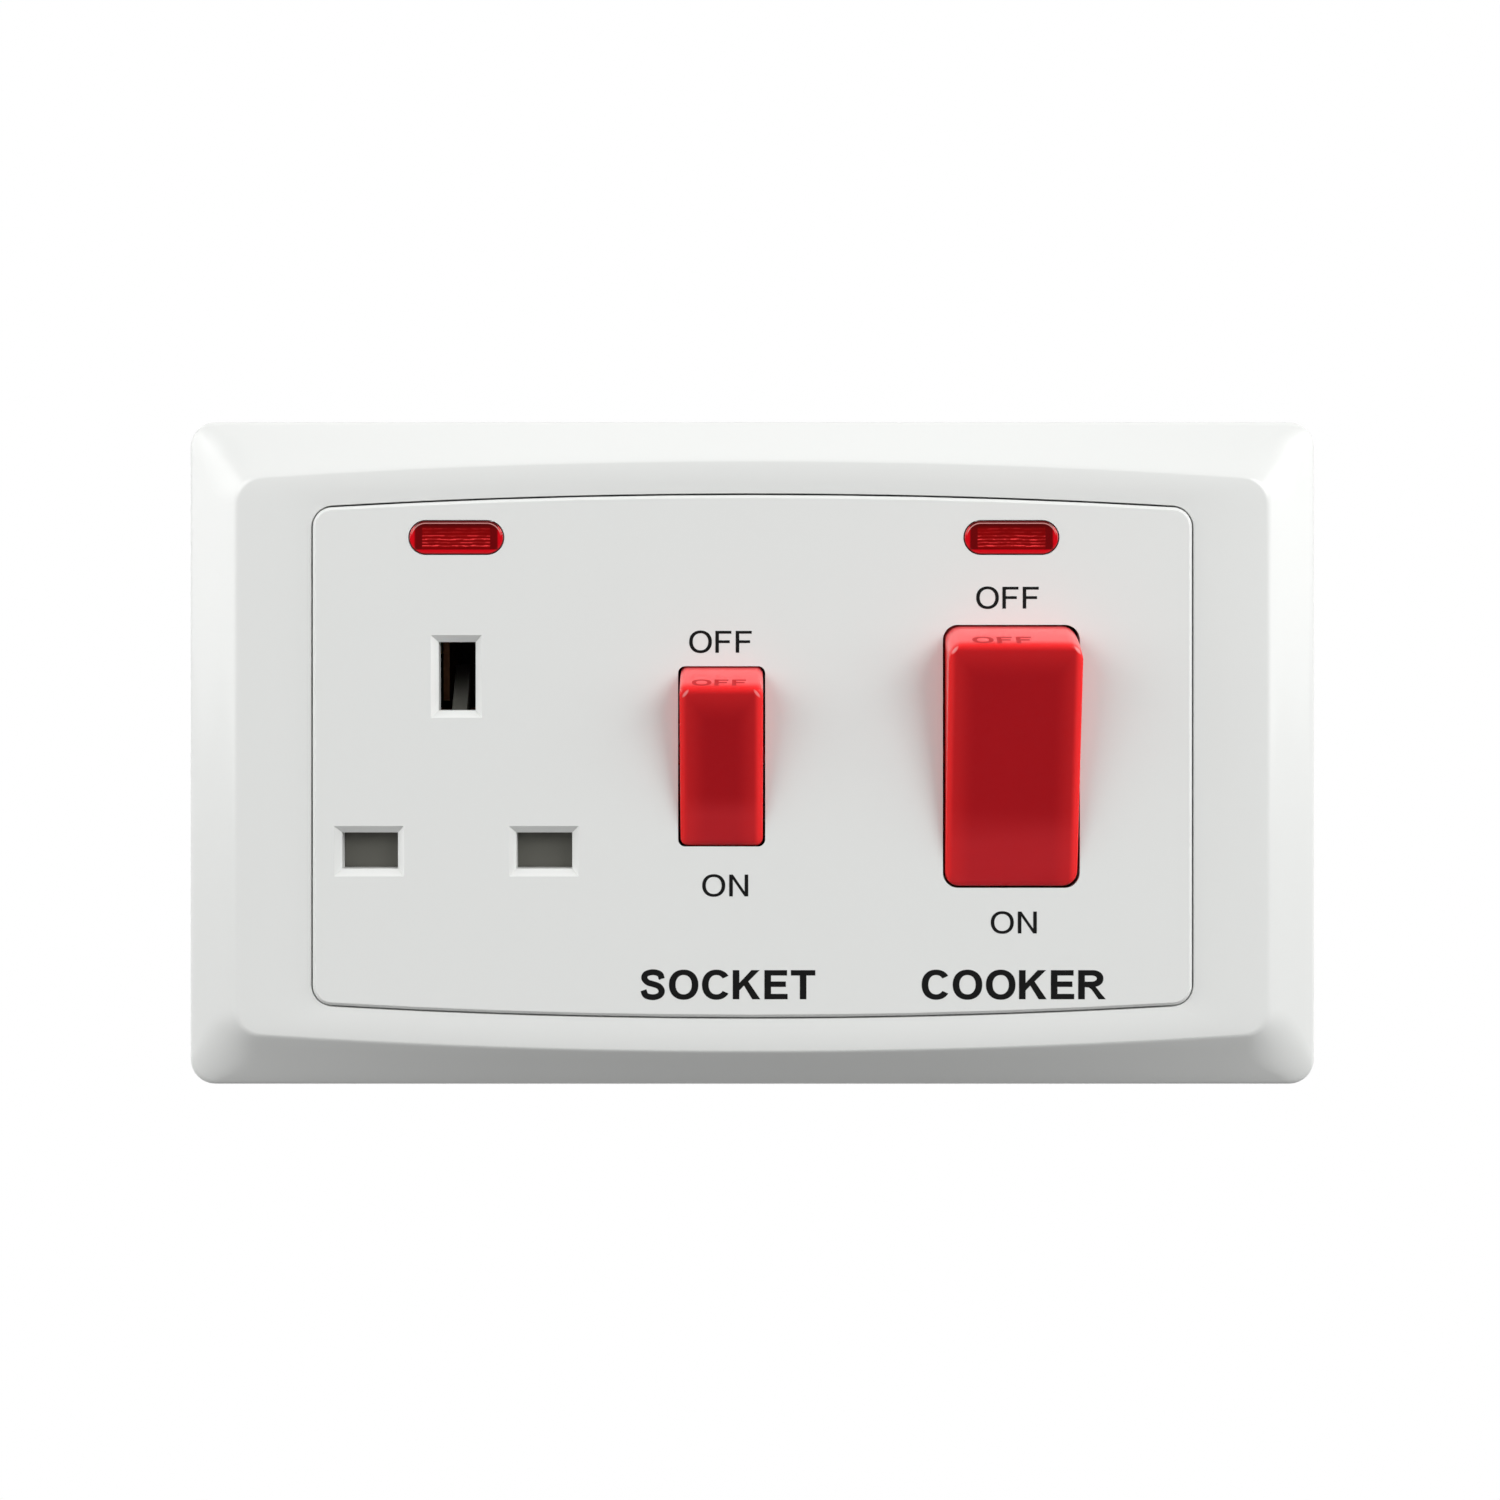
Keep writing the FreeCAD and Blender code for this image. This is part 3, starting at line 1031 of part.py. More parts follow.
def build_rear_housing():
    body = new_body("rear_housing")
    half_x, half_z = "places.housing_x", "places.housing_z"
    box = rounded_rectangle(front_sketch(body, "housing_outline", "sizes.housing_depth"), f"-{half_x}",
                            half_x, f"-{half_z}", half_z, "sizes.housing_corner")
    pad(body, "housing_box", box, "sizes.housing_depth + sizes.housing_step")
    brim = "places.housing_flange_z"
    brim_y = "sizes.housing_flange_thick - sizes.housing_step"
    flange = rounded_rectangle(front_sketch(body, "housing_flange_outline", brim_y), f"-{half_x}",
                               half_x, f"-{brim}", brim, "sizes.housing_corner")
    pad(body, "housing_flange", flange, "sizes.housing_flange_thick")
    deep = "sizes.housing_step + places.housing_floor_y"
    chambers = front_sketch(body, "chamber_outlines", "-sizes.housing_step")
    high = "places.chamber_z"
    rectangle(chambers, "-places.chamber_x", "places.switch_chamber_left - sizes.partition",
              "places.housing_ledge_z", high)
    rectangle(chambers, "places.switch_chamber_left", "places.switch_chamber_right", f"-{high}", high)
    rectangle(chambers, "places.switch_chamber_right + sizes.partition", "places.chamber_x", f"-{high}",
              high)
    pocket(body, "chambers", chambers, deep)

    seats = front_sketch(body, "seat_outlines", "places.housing_floor_y")
    for x in ("places.cooker_live_x", "places.cooker_neutral_x", "places.switch_x"):
        rectangle(seats, f"{x} - places.ear_outer", f"{x} + places.ear_outer",
                  "sizes.seat_end - places.terminal_z", "sizes.ear_half")
    for x in ("places.cooker_live_x", "places.cooker_neutral_x"):
        rectangle(seats, f"{x} - sizes.bar_width / 2", f"{x} + sizes.bar_width / 2",
                  "places.cooker_tip_z - sizes.contact_seat_foot",
                  "places.terminal_z - sizes.contact_seat_gap")
    pad(body, "seats", seats, "places.housing_floor_y - places.strip_back_y")
    post = rectangle(front_sketch(body, "clip_post_outline", "places.housing_floor_y"),
                     "places.neutral_x - sizes.clip_post_half", "places.neutral_x + sizes.clip_post_half",
                     "sizes.line_z - sizes.clip_post_half", "sizes.line_z + sizes.clip_post_top")
    pad(body, "clip_post", post, "places.housing_floor_y - places.clip_back_y")

    notches = front_sketch(body, "notch_outlines", "places.clip_back_y - sizes.notch_depth")
    margin, over = "sizes.notch_margin", "sizes.cut_margin"
    left_wall = (f"places.switch_chamber_left - sizes.partition - {over}",
                 f"places.switch_chamber_left + {over}")
    right_wall = (f"places.switch_chamber_right - {over}",
                  f"places.switch_chamber_right + sizes.partition + {over}")
    link = ("sizes.line_z + sizes.clip_gap / 2", "sizes.line_z + sizes.clip_gap / 2 + sizes.link_notch")
    rectangle(notches, *left_wall, f"places.live_run_z - sizes.run_width - {margin}",
              f"places.live_run_z + {margin}")
    rectangle(notches, *left_wall, *link)
    rectangle(notches, *right_wall, f"sizes.link_gap - {margin} - places.terminal_z", link[1])
    pocket(body, "notches", notches, "sizes.clip_setback + sizes.notch_depth")

    drivers = circles(front_sketch(body, "driver_hole_outlines", "places.housing_floor_y"),
                      [(x, terminal_middle(side)) for x, side in TERMINALS.values()],
                      "sizes.screw_radius + sizes.driver_clearance")
    pocket(body, "driver_holes", drivers, "sizes.housing_floor")
    entries = sketch_on(body, "top_entry_outlines", "XY_Plane", half_z)
    circles(entries, [(x, "places.wire_y") for x, side in TERMINALS.values() if side > 0],
            "sizes.wire_bore / 2 + sizes.entry_clearance")
    pocket(body, "top_entries", entries, "sizes.housing_wall")
    entries = sketch_on(body, "low_entry_outlines", "XY_Plane", f"-{half_z}")
    circles(entries, [(x, "places.wire_y") for x, side in TERMINALS.values() if side < 0],
            "sizes.wire_bore / 2 + sizes.entry_clearance")
    pocket(body, "low_entries", entries, "sizes.housing_wall", forward=True)
    screws = circles(front_sketch(body, "screw_hole_outlines", "-sizes.housing_step"),
                     [(f"{side}places.housing_screw_x", f"{level}places.housing_screw_z")
                      for side in ("", "-") for level in ("", "-")],
                     "sizes.housing_screw_radius + sizes.screw_hole_clearance")
    pocket(body, "screw_holes", screws, "sizes.housing_flange_thick")
    return body


# Shutter: blades across the live and neutral windows, lowered by a ramp behind the earth window

def build_shutter():
    body = new_body("shutter")
    x = "places.socket_x"
    front = "places.shutter_front_y"
    half, arm = "places.shutter_half", "sizes.shutter_arm / 2"
    neck = "places.earth_low_z - sizes.shutter_arm_gap"
    blade = polygon(front_sketch(body, "blade_outline", front), [
        (f"{x} - {half}", "places.shutter_low_z"), (f"{x} + {half}", "places.shutter_low_z"),
        (f"{x} + {half}", "places.shutter_top_z"), (f"{x} + {arm}", "places.shutter_top_z"),
        (f"{x} + {arm}", neck), (f"{x} - {arm}", neck),
        (f"{x} - {arm}", "places.shutter_top_z"), (f"{x} - {half}", "places.shutter_top_z")])
    pad(body, "blade", blade, "sizes.shutter_blade", back=True)
    foot = rectangle(front_sketch(body, "foot_outline", front), f"{x} - sizes.shutter_foot_width / 2",
                     f"{x} + sizes.shutter_foot_width / 2", "places.shutter_foot_z",
                     "places.shutter_low_z + sizes.shutter_foot_overlap")
    pad(body, "foot", foot, f"places.shutter_foot_y - ({front})", back=True)
    near = f"{front} + sizes.shutter_play"
    deep = f"{near} + sizes.ramp_depth"
    low = "places.earth_low_z"
    foot_z, top_z = f"{low} - sizes.ramp_foot", f"{low} + sizes.shutter_drop + sizes.shutter_clearance"
    ramp = polygon(side_sketch(body, "ramp_outline", x), [
        (near, foot_z), (f"{front} + sizes.shutter_blade", foot_z),
        (f"{deep} + sizes.ramp_face", f"{low} + sizes.ramp_heel"),
        (f"{deep} + sizes.ramp_face", top_z), (deep, top_z), (near, low)])
    pad(body, "ramp", ramp, "sizes.ramp_width", both=True)
    return body


def build_shutter_spring():
    foot, seat = "places.shutter_foot_z", "places.shutter_seat_z"
    spring = build_spring("shutter_spring", "sizes.shutter_spring_radius",
                          f"({foot} - ({seat}) - 2 * sizes.spring_clearance)")
    put(spring, "places.socket_x", "places.shutter_spring_y", f"{seat} + sizes.spring_clearance")
    return spring


# Pilot lamps

def build_lens(name, x):
    """A smooth lens with grooves across its back and a brim behind the panel."""
    body = new_body(name)
    play = "2 * sizes.lens_clearance"
    inside = stadium(front_sketch(body, f"{name}_outline", "places.panel_back_y"), x, "places.lens_z",
                     f"sizes.lens_width - {play}", f"(sizes.lens_height - {play})")
    pad(body, f"{name}_window", inside, "sizes.panel_slab + sizes.lens_proud")
    brim_x = "(sizes.lens_width / 2 + sizes.lens_brim)"
    brim = rectangle(front_sketch(body, f"{name}_brim_outline", "places.panel_back_y"),
                     f"{x} - {brim_x}", f"{x} + {brim_x}",
                     "places.lens_z - sizes.lens_height / 2 - sizes.lens_brim",
                     "places.lens_z + sizes.lens_height / 2 - sizes.lens_clearance")
    pad(body, f"{name}_brim", brim, "sizes.lens_brim_thick", back=True)
    grooves = front_sketch(body, f"{name}_groove_outlines", "places.lens_line_y")
    pitch = "sizes.lens_groove_pitch"
    for step in (-1.5, -0.5, 0.5, 1.5):
        z = f"places.lens_z + {step} * {pitch}"
        rectangle(grooves, f"{x} - sizes.lens_field_width / 2", f"{x} + sizes.lens_field_width / 2",
                  f"{z} - {pitch} / 4", f"{z} + {pitch} / 4")
    pocket(body, f"{name}_grooves", grooves, "sizes.lens_groove", forward=True)
    return body


def build_neon(name, x):
    """A glass lamp lying behind its lens, drawn out to a pip at one end."""
    y = "(places.lens_line_y - sizes.housing_step) / 2"
    tube = rod(f"{name}_tube", "x", (f"{x} - sizes.neon_length / 2", y, "places.lens_z"),
               "sizes.neon_length - sizes.neon_pip", "sizes.neon_radius")
    pip = doc.addObject("Part::Cone", f"{name}_pip")
    pip.Placement = FreeCAD.Placement(Vector(), AXIS_TURNS["x"])
    pip.setExpression("Radius1", "sizes.neon_radius")
    pip.setExpression("Radius2", "sizes.neon_pip_radius")
    pip.setExpression("Height", "sizes.neon_pip")
    put(pip, f"{x} + sizes.neon_length / 2 - sizes.neon_pip", y, "places.lens_z")
    return join(name, [tube, pip])


def build_all():
    nodes = [build_front_plate(), build_cover_frame(), build_rear_housing(), build_shutter(),
             build_shutter_spring()]
    poles = {"cooker_live": "places.cooker_live_x", "cooker_neutral": "places.cooker_neutral_x"}
    nodes.append(build_rocker("cooker", ["-sizes.pole_pitch / 2", "sizes.pole_pitch / 2"]))
    nodes.append(build_rocker("switch", ["0"]))
    nodes[-1].Label = "socket_rocker"
    for pole, x in poles.items():
        nodes.append(build_plunger(f"{pole}_plunger", "cooker", x))
        nodes.append(build_plunger_spring(f"{pole}_plunger_spring", "cooker", x))
        nodes.append(build_bar(f"{pole}_bar", "places.cooker_bar_half", "places.cooker_tip_z", x))
        nodes.append(build_cooker_bracket(f"{pole}_bracket", x))
        nodes.append(build_cooker_contact(f"{pole}_contact", x))
    nodes.append(build_plunger("socket_plunger", "switch", "places.switch_x"))
    nodes.append(build_plunger_spring("socket_plunger_spring", "switch", "places.switch_x"))
    nodes.append(build_bar("socket_bar", "sizes.switch_bar_half", "places.switch_tip_z", "places.switch_x"))
    nodes += [build_socket_bracket(), build_live_clip(), build_neutral_clip(), build_earth_clip()]
    nodes += [build_terminal(name, x, side) for name, (x, side) in TERMINALS.items()]
    nodes += [build_terminal_screws(), build_housing_screws()]
    for name, x in (("socket", "places.socket_x"), ("cooker", "places.cooker_x")):
        nodes.append(build_lens(f"{name}_lens", x))
        nodes.append(build_neon(f"{name}_neon", x))
    return nodes


nodes = build_all()
doc.recompute()
for item in doc.Objects:
    if "Invalid" in item.State or "Error" in item.State:
        raise ValueError(f"{item.Name} failed: {item.State}")
for node in nodes:
    if node.Shape.isNull() or not node.Shape.isValid():
        raise ValueError(f"{node.Label} has no valid shape")

os.makedirs("parts", exist_ok=True)
for node in nodes:
    node.Shape.exportStep(f"parts/{node.Label}.step")
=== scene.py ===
import math
from functools import partialmethod

import bmesh
import bpy
from bpy.props import FloatProperty, FloatVectorProperty, PointerProperty
from mathutils import Matrix, Vector


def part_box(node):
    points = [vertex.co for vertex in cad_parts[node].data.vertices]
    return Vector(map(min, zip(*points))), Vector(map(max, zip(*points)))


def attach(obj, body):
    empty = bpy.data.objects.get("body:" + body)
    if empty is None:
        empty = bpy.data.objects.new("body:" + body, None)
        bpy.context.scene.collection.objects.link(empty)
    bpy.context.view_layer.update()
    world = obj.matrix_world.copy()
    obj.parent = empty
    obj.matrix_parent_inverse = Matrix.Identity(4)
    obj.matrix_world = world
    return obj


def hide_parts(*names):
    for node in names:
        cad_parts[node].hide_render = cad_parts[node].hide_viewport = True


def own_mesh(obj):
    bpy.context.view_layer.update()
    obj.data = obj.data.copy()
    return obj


bl_info = {
    "name": "Cooker control unit",
    "version": (1, 0, 0),
    "blender": (4, 5, 0),
    "location": "3D View > Sidebar > Cooker unit",
    "description": "Dresses the wall plate with its switches, socket, lamps and lettering",
    "category": "Object",
}

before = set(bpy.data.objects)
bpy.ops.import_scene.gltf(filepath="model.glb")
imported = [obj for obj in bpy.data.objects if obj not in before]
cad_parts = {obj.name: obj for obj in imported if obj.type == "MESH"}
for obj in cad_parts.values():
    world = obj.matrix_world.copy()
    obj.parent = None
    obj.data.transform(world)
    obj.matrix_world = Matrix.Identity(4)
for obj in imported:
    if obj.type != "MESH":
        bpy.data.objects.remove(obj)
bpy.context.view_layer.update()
MM = 0.001
PANEL_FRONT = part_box("front_plate")[0].y


# Shader and geometry nodes

class Reading:
    """A value inside a finish; arithmetic on it adds the maths nodes."""

    def __init__(self, finish, socket):
        self.finish = finish
        self.socket = socket

    def maths(self, operation, *others):
        inputs = dict(enumerate((self, *others)))
        made = self.finish.node("ShaderNodeMath", {"operation": operation}, inputs)
        return Reading(self.finish, made.outputs[0])

    __add__ = __radd__ = partialmethod(maths, "ADD")
    __sub__ = partialmethod(maths, "SUBTRACT")
    __rsub__ = partialmethod(maths, "MULTIPLY_ADD", -1.0)
    __mul__ = __rmul__ = partialmethod(maths, "MULTIPLY")
    __truediv__ = partialmethod(maths, "DIVIDE")
    __abs__ = partialmethod(maths, "ABSOLUTE")
    root = partialmethod(maths, "SQRT")
    at_least = partialmethod(maths, "MAXIMUM")
    at_most = partialmethod(maths, "MINIMUM")

    def above(self, level, blur):
        """0 below a level and 1 above it, with a soft step as wide as blur."""
        made = self.finish.node("ShaderNodeMapRange", {"interpolation_type": "SMOOTHSTEP"}, {
            "Value": self, "From Min": level - blur / 2, "From Max": level + blur / 2})
        return Reading(self.finish, made.outputs["Result"])

    def below(self, level, blur):
        return 1 - self.above(level, blur)


class NodeMaker:
    """Adds nodes to a tree, with settings first and then the values or links of the sockets."""

    def node(self, kind, settings=None, inputs=None):
        made = self.tree.nodes.new(kind)
        for name, value in (settings or {}).items():
            setattr(made, name, value)
        for name, value in (inputs or {}).items():
            socket = made.inputs[name]
            if isinstance(value, Reading):
                self.tree.links.new(value.socket, socket)
            elif isinstance(value, bpy.types.NodeSocket):
                self.tree.links.new(value, socket)
            else:
                socket.default_value = (*value, 1.0) if socket.type == "RGBA" else value
        return made


class Finish(NodeMaker):
    """A material built round one Principled shader."""

    def __init__(self, name, **constants):
        self.material = bpy.data.materials.new(name)
        self.material.use_nodes = True
        self.tree = self.material.node_tree
        self.tree.nodes.clear()
        words = {key.replace("_", " ").title(): value for key, value in constants.items()}
        words = {key.replace("Ior", "IOR"): value for key, value in words.items()}
        self.shader = self.node("ShaderNodeBsdfPrincipled", inputs=words)
        self.output = self.node("ShaderNodeOutputMaterial", inputs={
            "Surface": self.shader.outputs[0]})

    def place(self):
        """Object coordinates, in metres, as three readings."""
        parts = self.node("ShaderNodeSeparateXYZ", inputs={"Vector": self.coordinates()})
        return [Reading(self, parts.outputs[axis]) for axis in "XYZ"]

    def coordinates(self):
        return self.node("ShaderNodeTexCoord").outputs["Object"]

    def noise(self, size, detail=2.0, stretch=(1, 1, 1)):
        """Cloudy noise with features about as large as size."""
        spread = self.node("ShaderNodeMapping", inputs={
            "Vector": self.coordinates(), "Scale": stretch})
        made = self.node("ShaderNodeTexNoise", inputs={
            "Vector": spread.outputs[0], "Scale": 1 / size, "Detail": detail})
        return Reading(self, made.outputs[0])

    def mix(self, factor, first, second):
        """The first colour where the factor is 0, the second where it is 1."""
        made = self.node("ShaderNodeMix", {"data_type": "RGBA"}, {0: factor, 6: first, 7: second})
        return made.outputs[2]

    def clouds(self, size, detail, first, second):
        """A colour that drifts between two, in clouds about as large as size."""
        return self.mix(self.noise(size, detail), first, second)

    def set(self, name, value):
        """Links a varying value to one of the shader's sockets."""
        socket = self.shader.inputs[name]
        self.tree.links.new(value.socket if isinstance(value, Reading) else value, socket)

    def bump(self, height, distance):
        made = self.node("ShaderNodeBump", inputs={
            "Height": height, "Distance": distance, "Strength": 1.0})
        self.set("Normal", made.outputs[0])


def shade(colour, share):
    """A colour made darker or lighter by a share."""
    return tuple(channel * share for channel in colour)


class Pattern(NodeMaker):
    """A geometry tree with named inputs, ending in real geometry with its material."""

    KINDS = {float: "NodeSocketFloat", tuple: "NodeSocketVector"}

    def __init__(self, name, values):
        self.values = values
        self.tree = bpy.data.node_groups.new(name, "GeometryNodeTree")
        self.tree.interface.new_socket(
            "Geometry", in_out="OUTPUT", socket_type="NodeSocketGeometry")
        for key, value in values.items():
            kind = self.KINDS.get(type(value), "NodeSocketMaterial")
            self.tree.interface.new_socket(key, in_out="INPUT", socket_type=kind)
        self.given = self.node("NodeGroupInput").outputs

    def finish(self, geometry):
        real = self.node("GeometryNodeRealizeInstances", inputs={"Geometry": geometry})
        done = self.node("GeometryNodeSetMaterial", inputs={
            "Geometry": real.outputs[0], "Material": self.given["Material"]})
        self.node("NodeGroupOutput", inputs={"Geometry": done.outputs[0]})

    def mesh_object(self, name):
        """The tree's result as an object with a plain mesh."""
        carrier = new_object(f"{name}_maker", bpy.data.meshes.new(f"{name}_maker"))
        modifier = carrier.modifiers.new("pattern", "NODES")
        modifier.node_group = self.tree
        for item in self.tree.interface.items_tree:
            if item.item_type == "SOCKET" and item.in_out == "INPUT":
                modifier[item.identifier] = self.values[item.name]
        mesh = baked_mesh(carrier)
        bpy.data.objects.remove(carrier)
        return new_object(name, mesh)


# Meshes

def new_object(name, data):
    """An object in the scene that holds a mesh, a curve, a lamp or the camera."""
    data.name = name
    made = bpy.data.objects.new(name, data)
    bpy.context.scene.collection.objects.link(made)
    return made


def baked_mesh(piece):
    """A plain mesh of an object as its modifiers or its curve leave it."""
    graph = bpy.context.evaluated_depsgraph_get()
    return bpy.data.meshes.new_from_object(piece.evaluated_get(graph))


def to_mesh(name, shape):
    """A mesh from a bmesh, which is used up."""
    mesh = bpy.data.meshes.new(name)
    shape.to_mesh(mesh)
    shape.free()
    return mesh


def give(piece, finish):
    """Clears a piece's materials and gives it one finish."""
    piece.data.materials.clear()
    piece.data.materials.append(finish.material)
    return piece


def seat(piece, body, slot, *nodes):
    """Hangs a finished piece on a body in place of the named nodes."""
    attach(piece, body)
    if nodes:
        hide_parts(*nodes)
    return piece


def add_piece(name, mesh, finish, body, slot, *nodes):
    """A piece from a finished mesh, seated on its body."""
    return seat(give(new_object(name, mesh), finish), body, slot, *nodes)


def outline(half_x, half_z, corner, bow, corner_steps=8, spans=24):
    """Points round a rounded rectangle whose top and bottom bow outwards with curvature bow."""
    corner = max(corner, 1e-7)
    bowed = bow > 1e-3
    if bowed:
        big = 1 / bow
        drop = half_z - big
        level = drop + math.sqrt((big - corner) ** 2 - (half_x - corner) ** 2)
        turn = math.atan2(level - drop, half_x - corner)
    else:
        level, turn = half_z - corner, math.pi / 2
    quarter = []
    for i in range(corner_steps + 1):
        angle = turn * i / corner_steps
        quarter.append((half_x - corner + corner * math.cos(angle),
                        level + corner * math.sin(angle)))
    end = quarter[-1][0]
    top = []
    for i in range(1, spans):
        x = end * (1 - 2 * i / spans)
        top.append((x, drop + math.sqrt(big ** 2 - x * x) if bowed else half_z))
    upper = quarter + top + [(-x, z) for x, z in reversed(quarter)]
    return upper + [(x, -z) for x, z in reversed(upper)]


def ease_profile(profile, steps=4, closed=False):
    """Rounds the corners of a run of outlines given as (half_x, half_z, corner, bow, y, ease)."""
    rings = []
    count = len(profile)
    for i, point in enumerate(profile):
        here, ease = Vector(point[:5]), point[5]
        at_end = not closed and i in (0, count - 1)
        if ease <= 0 or at_end:
            rings.append(tuple(here))
            continue
        arms = []
        for other in (profile[i - 1], profile[(i + 1) % count]):
            step = Vector(other[:5]) - here
            reach = max(abs(step[0]), abs(step[1]), abs(step[4]))
            arms.append(here + step * min(0.5, ease / reach))
        for k in range(steps + 1):
            t = k / steps
            rings.append(tuple(arms[0] * (1 - t) ** 2 + here * (2 * t * (1 - t)) + arms[1] * t * t))
    return rings


def loft_mesh(name, rings, centre=(0, 0), capped=False, closed=False, **steps):
    """A skin through outlines at their depths, capped at its ends or closed on itself."""
    shape = bmesh.new()
    rows = []
    for half_x, half_z, corner, bow, y in rings:
        points = outline(half_x, half_z, corner, bow, **steps)
        rows.append([shape.verts.new((centre[0] + x, y, centre[1] + z)) for x, z in points])
    pairs = list(zip(rows, rows[1:]))
    if closed:
        pairs.append((rows[-1], rows[0]))
    for first, second in pairs:
        for i in range(len(first)):
            j = (i + 1) % len(first)
            shape.faces.new((first[i], first[j], second[j], second[i]))
    if capped:
        shape.faces.new(rows[0])
        shape.faces.new(list(reversed(rows[-1])))
    bmesh.ops.remove_doubles(shape, verts=shape.verts, dist=1e-8)
    bmesh.ops.recalc_face_normals(shape, faces=shape.faces)
    return to_mesh(name, shape)


def in_metres(rings):
    return [tuple(value * MM for value in ring) for ring in rings]


def smooth(mesh, angle=35):
    """Smooth shading broken at edges sharper than an angle."""
    mesh.polygons.foreach_set("use_smooth", [True] * len(mesh.polygons))
    mesh.set_sharp_from_angle(angle=math.radians(angle))
    return mesh


def merge_meshes(name, meshes):
    """One mesh from several, which are used up."""
    shape = bmesh.new()
    for mesh in meshes:
        shape.from_mesh(mesh)
        bpy.data.meshes.remove(mesh)
    return to_mesh(name, shape)


def box_mesh(low, high):
    """A block between two corners."""
    low, high = Vector(low), Vector(high)
    place = Matrix.LocRotScale((low + high) / 2, None, high - low)
    shape = bmesh.new()
    bmesh.ops.create_cube(shape, size=1, matrix=place)
    return to_mesh("box", shape)


def rod_mesh(start, end, radius):
    """A capped cylinder between two points."""
    start, end = Vector(start), Vector(end)
    way = end - start
    place = Matrix.LocRotScale((start + end) / 2, way.to_track_quat("Z", "Y"), None)
    shape = bmesh.new()
    bmesh.ops.create_cone(shape, cap_ends=True, segments=40, radius1=radius, radius2=radius,
                          depth=way.length, matrix=place)
    return to_mesh("rod", shape)


def whole_copy(node):
    """A CAD node's mesh with its vertices joined and its flat faces whole."""
    flat = math.radians(0.3)
    shape = bmesh.new()
    shape.from_mesh(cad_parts[node].data)
    bmesh.ops.remove_doubles(shape, verts=shape.verts, dist=2e-6)
    bmesh.ops.dissolve_limit(shape, angle_limit=flat, verts=shape.verts, edges=shape.edges)
    return to_mesh(node, shape)


def flatten_normals(mesh):
    """Large flat faces shade as flat, whatever their neighbours' rounding does."""
    large = 0.00001
    normals = [corner.vector.copy() for corner in mesh.corner_normals]
    for face in mesh.polygons:
        if face.area > large:
            for corner in face.loop_indices:
                normals[corner] = face.normal.copy()
    mesh.normals_split_custom_set(normals)


def eased_copy(node, name, body, slot, finish, width):
    """Stands in for a CAD node with its sharp edges eased."""
    piece = give(new_object(name, smooth(whole_copy(node))), finish)
    bevel = piece.modifiers.new("edges", "BEVEL")
    bevel.width = width
    bevel.segments = 2
    bevel.limit_method = "ANGLE"
    bevel.angle_limit = math.radians(30)
    bevel.harden_normals = True
    mesh = baked_mesh(piece)
    piece.modifiers.clear()
    piece.data = mesh
    mesh.name = name
    flatten_normals(mesh)
    return seat(piece, body, slot, node)


# Lettering: plain capitals one unit high, drawn as closed loops

def oval(middle, half, start=0, stop=360, steps=48):
    """Points along an oval a little squarer than an ellipse, between two angles in degrees."""
    square = 0.92
    points = []
    for i in range(steps + 1):
        turn = math.radians(start + (stop - start) * i / steps)
        wide, tall = math.cos(turn), math.sin(turn)
        points.append((middle[0] + half[0] * math.copysign(abs(wide) ** square, wide),
                       middle[1] + half[1] * math.copysign(abs(tall) ** square, tall)))
    return points


def ribbon(points, width):
    """The outline of a bent stroke of one width through points."""
    steps = 7
    ends = [2 * Vector(points[0]) - Vector(points[1]), 2 * Vector(points[-1]) - Vector(points[-2])]
    knots = [ends[0], *(Vector(point) for point in points), ends[1]]
    line = []
    for a, b, c, d in zip(knots, knots[1:], knots[2:], knots[3:]):
        for i in range(steps):
            t = i / steps
            line.append(0.5 * (2 * b + (c - a) * t + (2 * a - 5 * b + 4 * c - d) * t ** 2
                               + (3 * b - a - 3 * c + d) * t ** 3))
    line.append(knots[-2])
    left, right = [], []
    for i, point in enumerate(line):
        way = (line[min(i + 1, len(line) - 1)] - line[max(i - 1, 0)]).normalized()
        side = Vector((-way.y, way.x)) * width / 2
        left.append(tuple(point + side))
        right.append(tuple(point - side))
    return left + right[::-1]


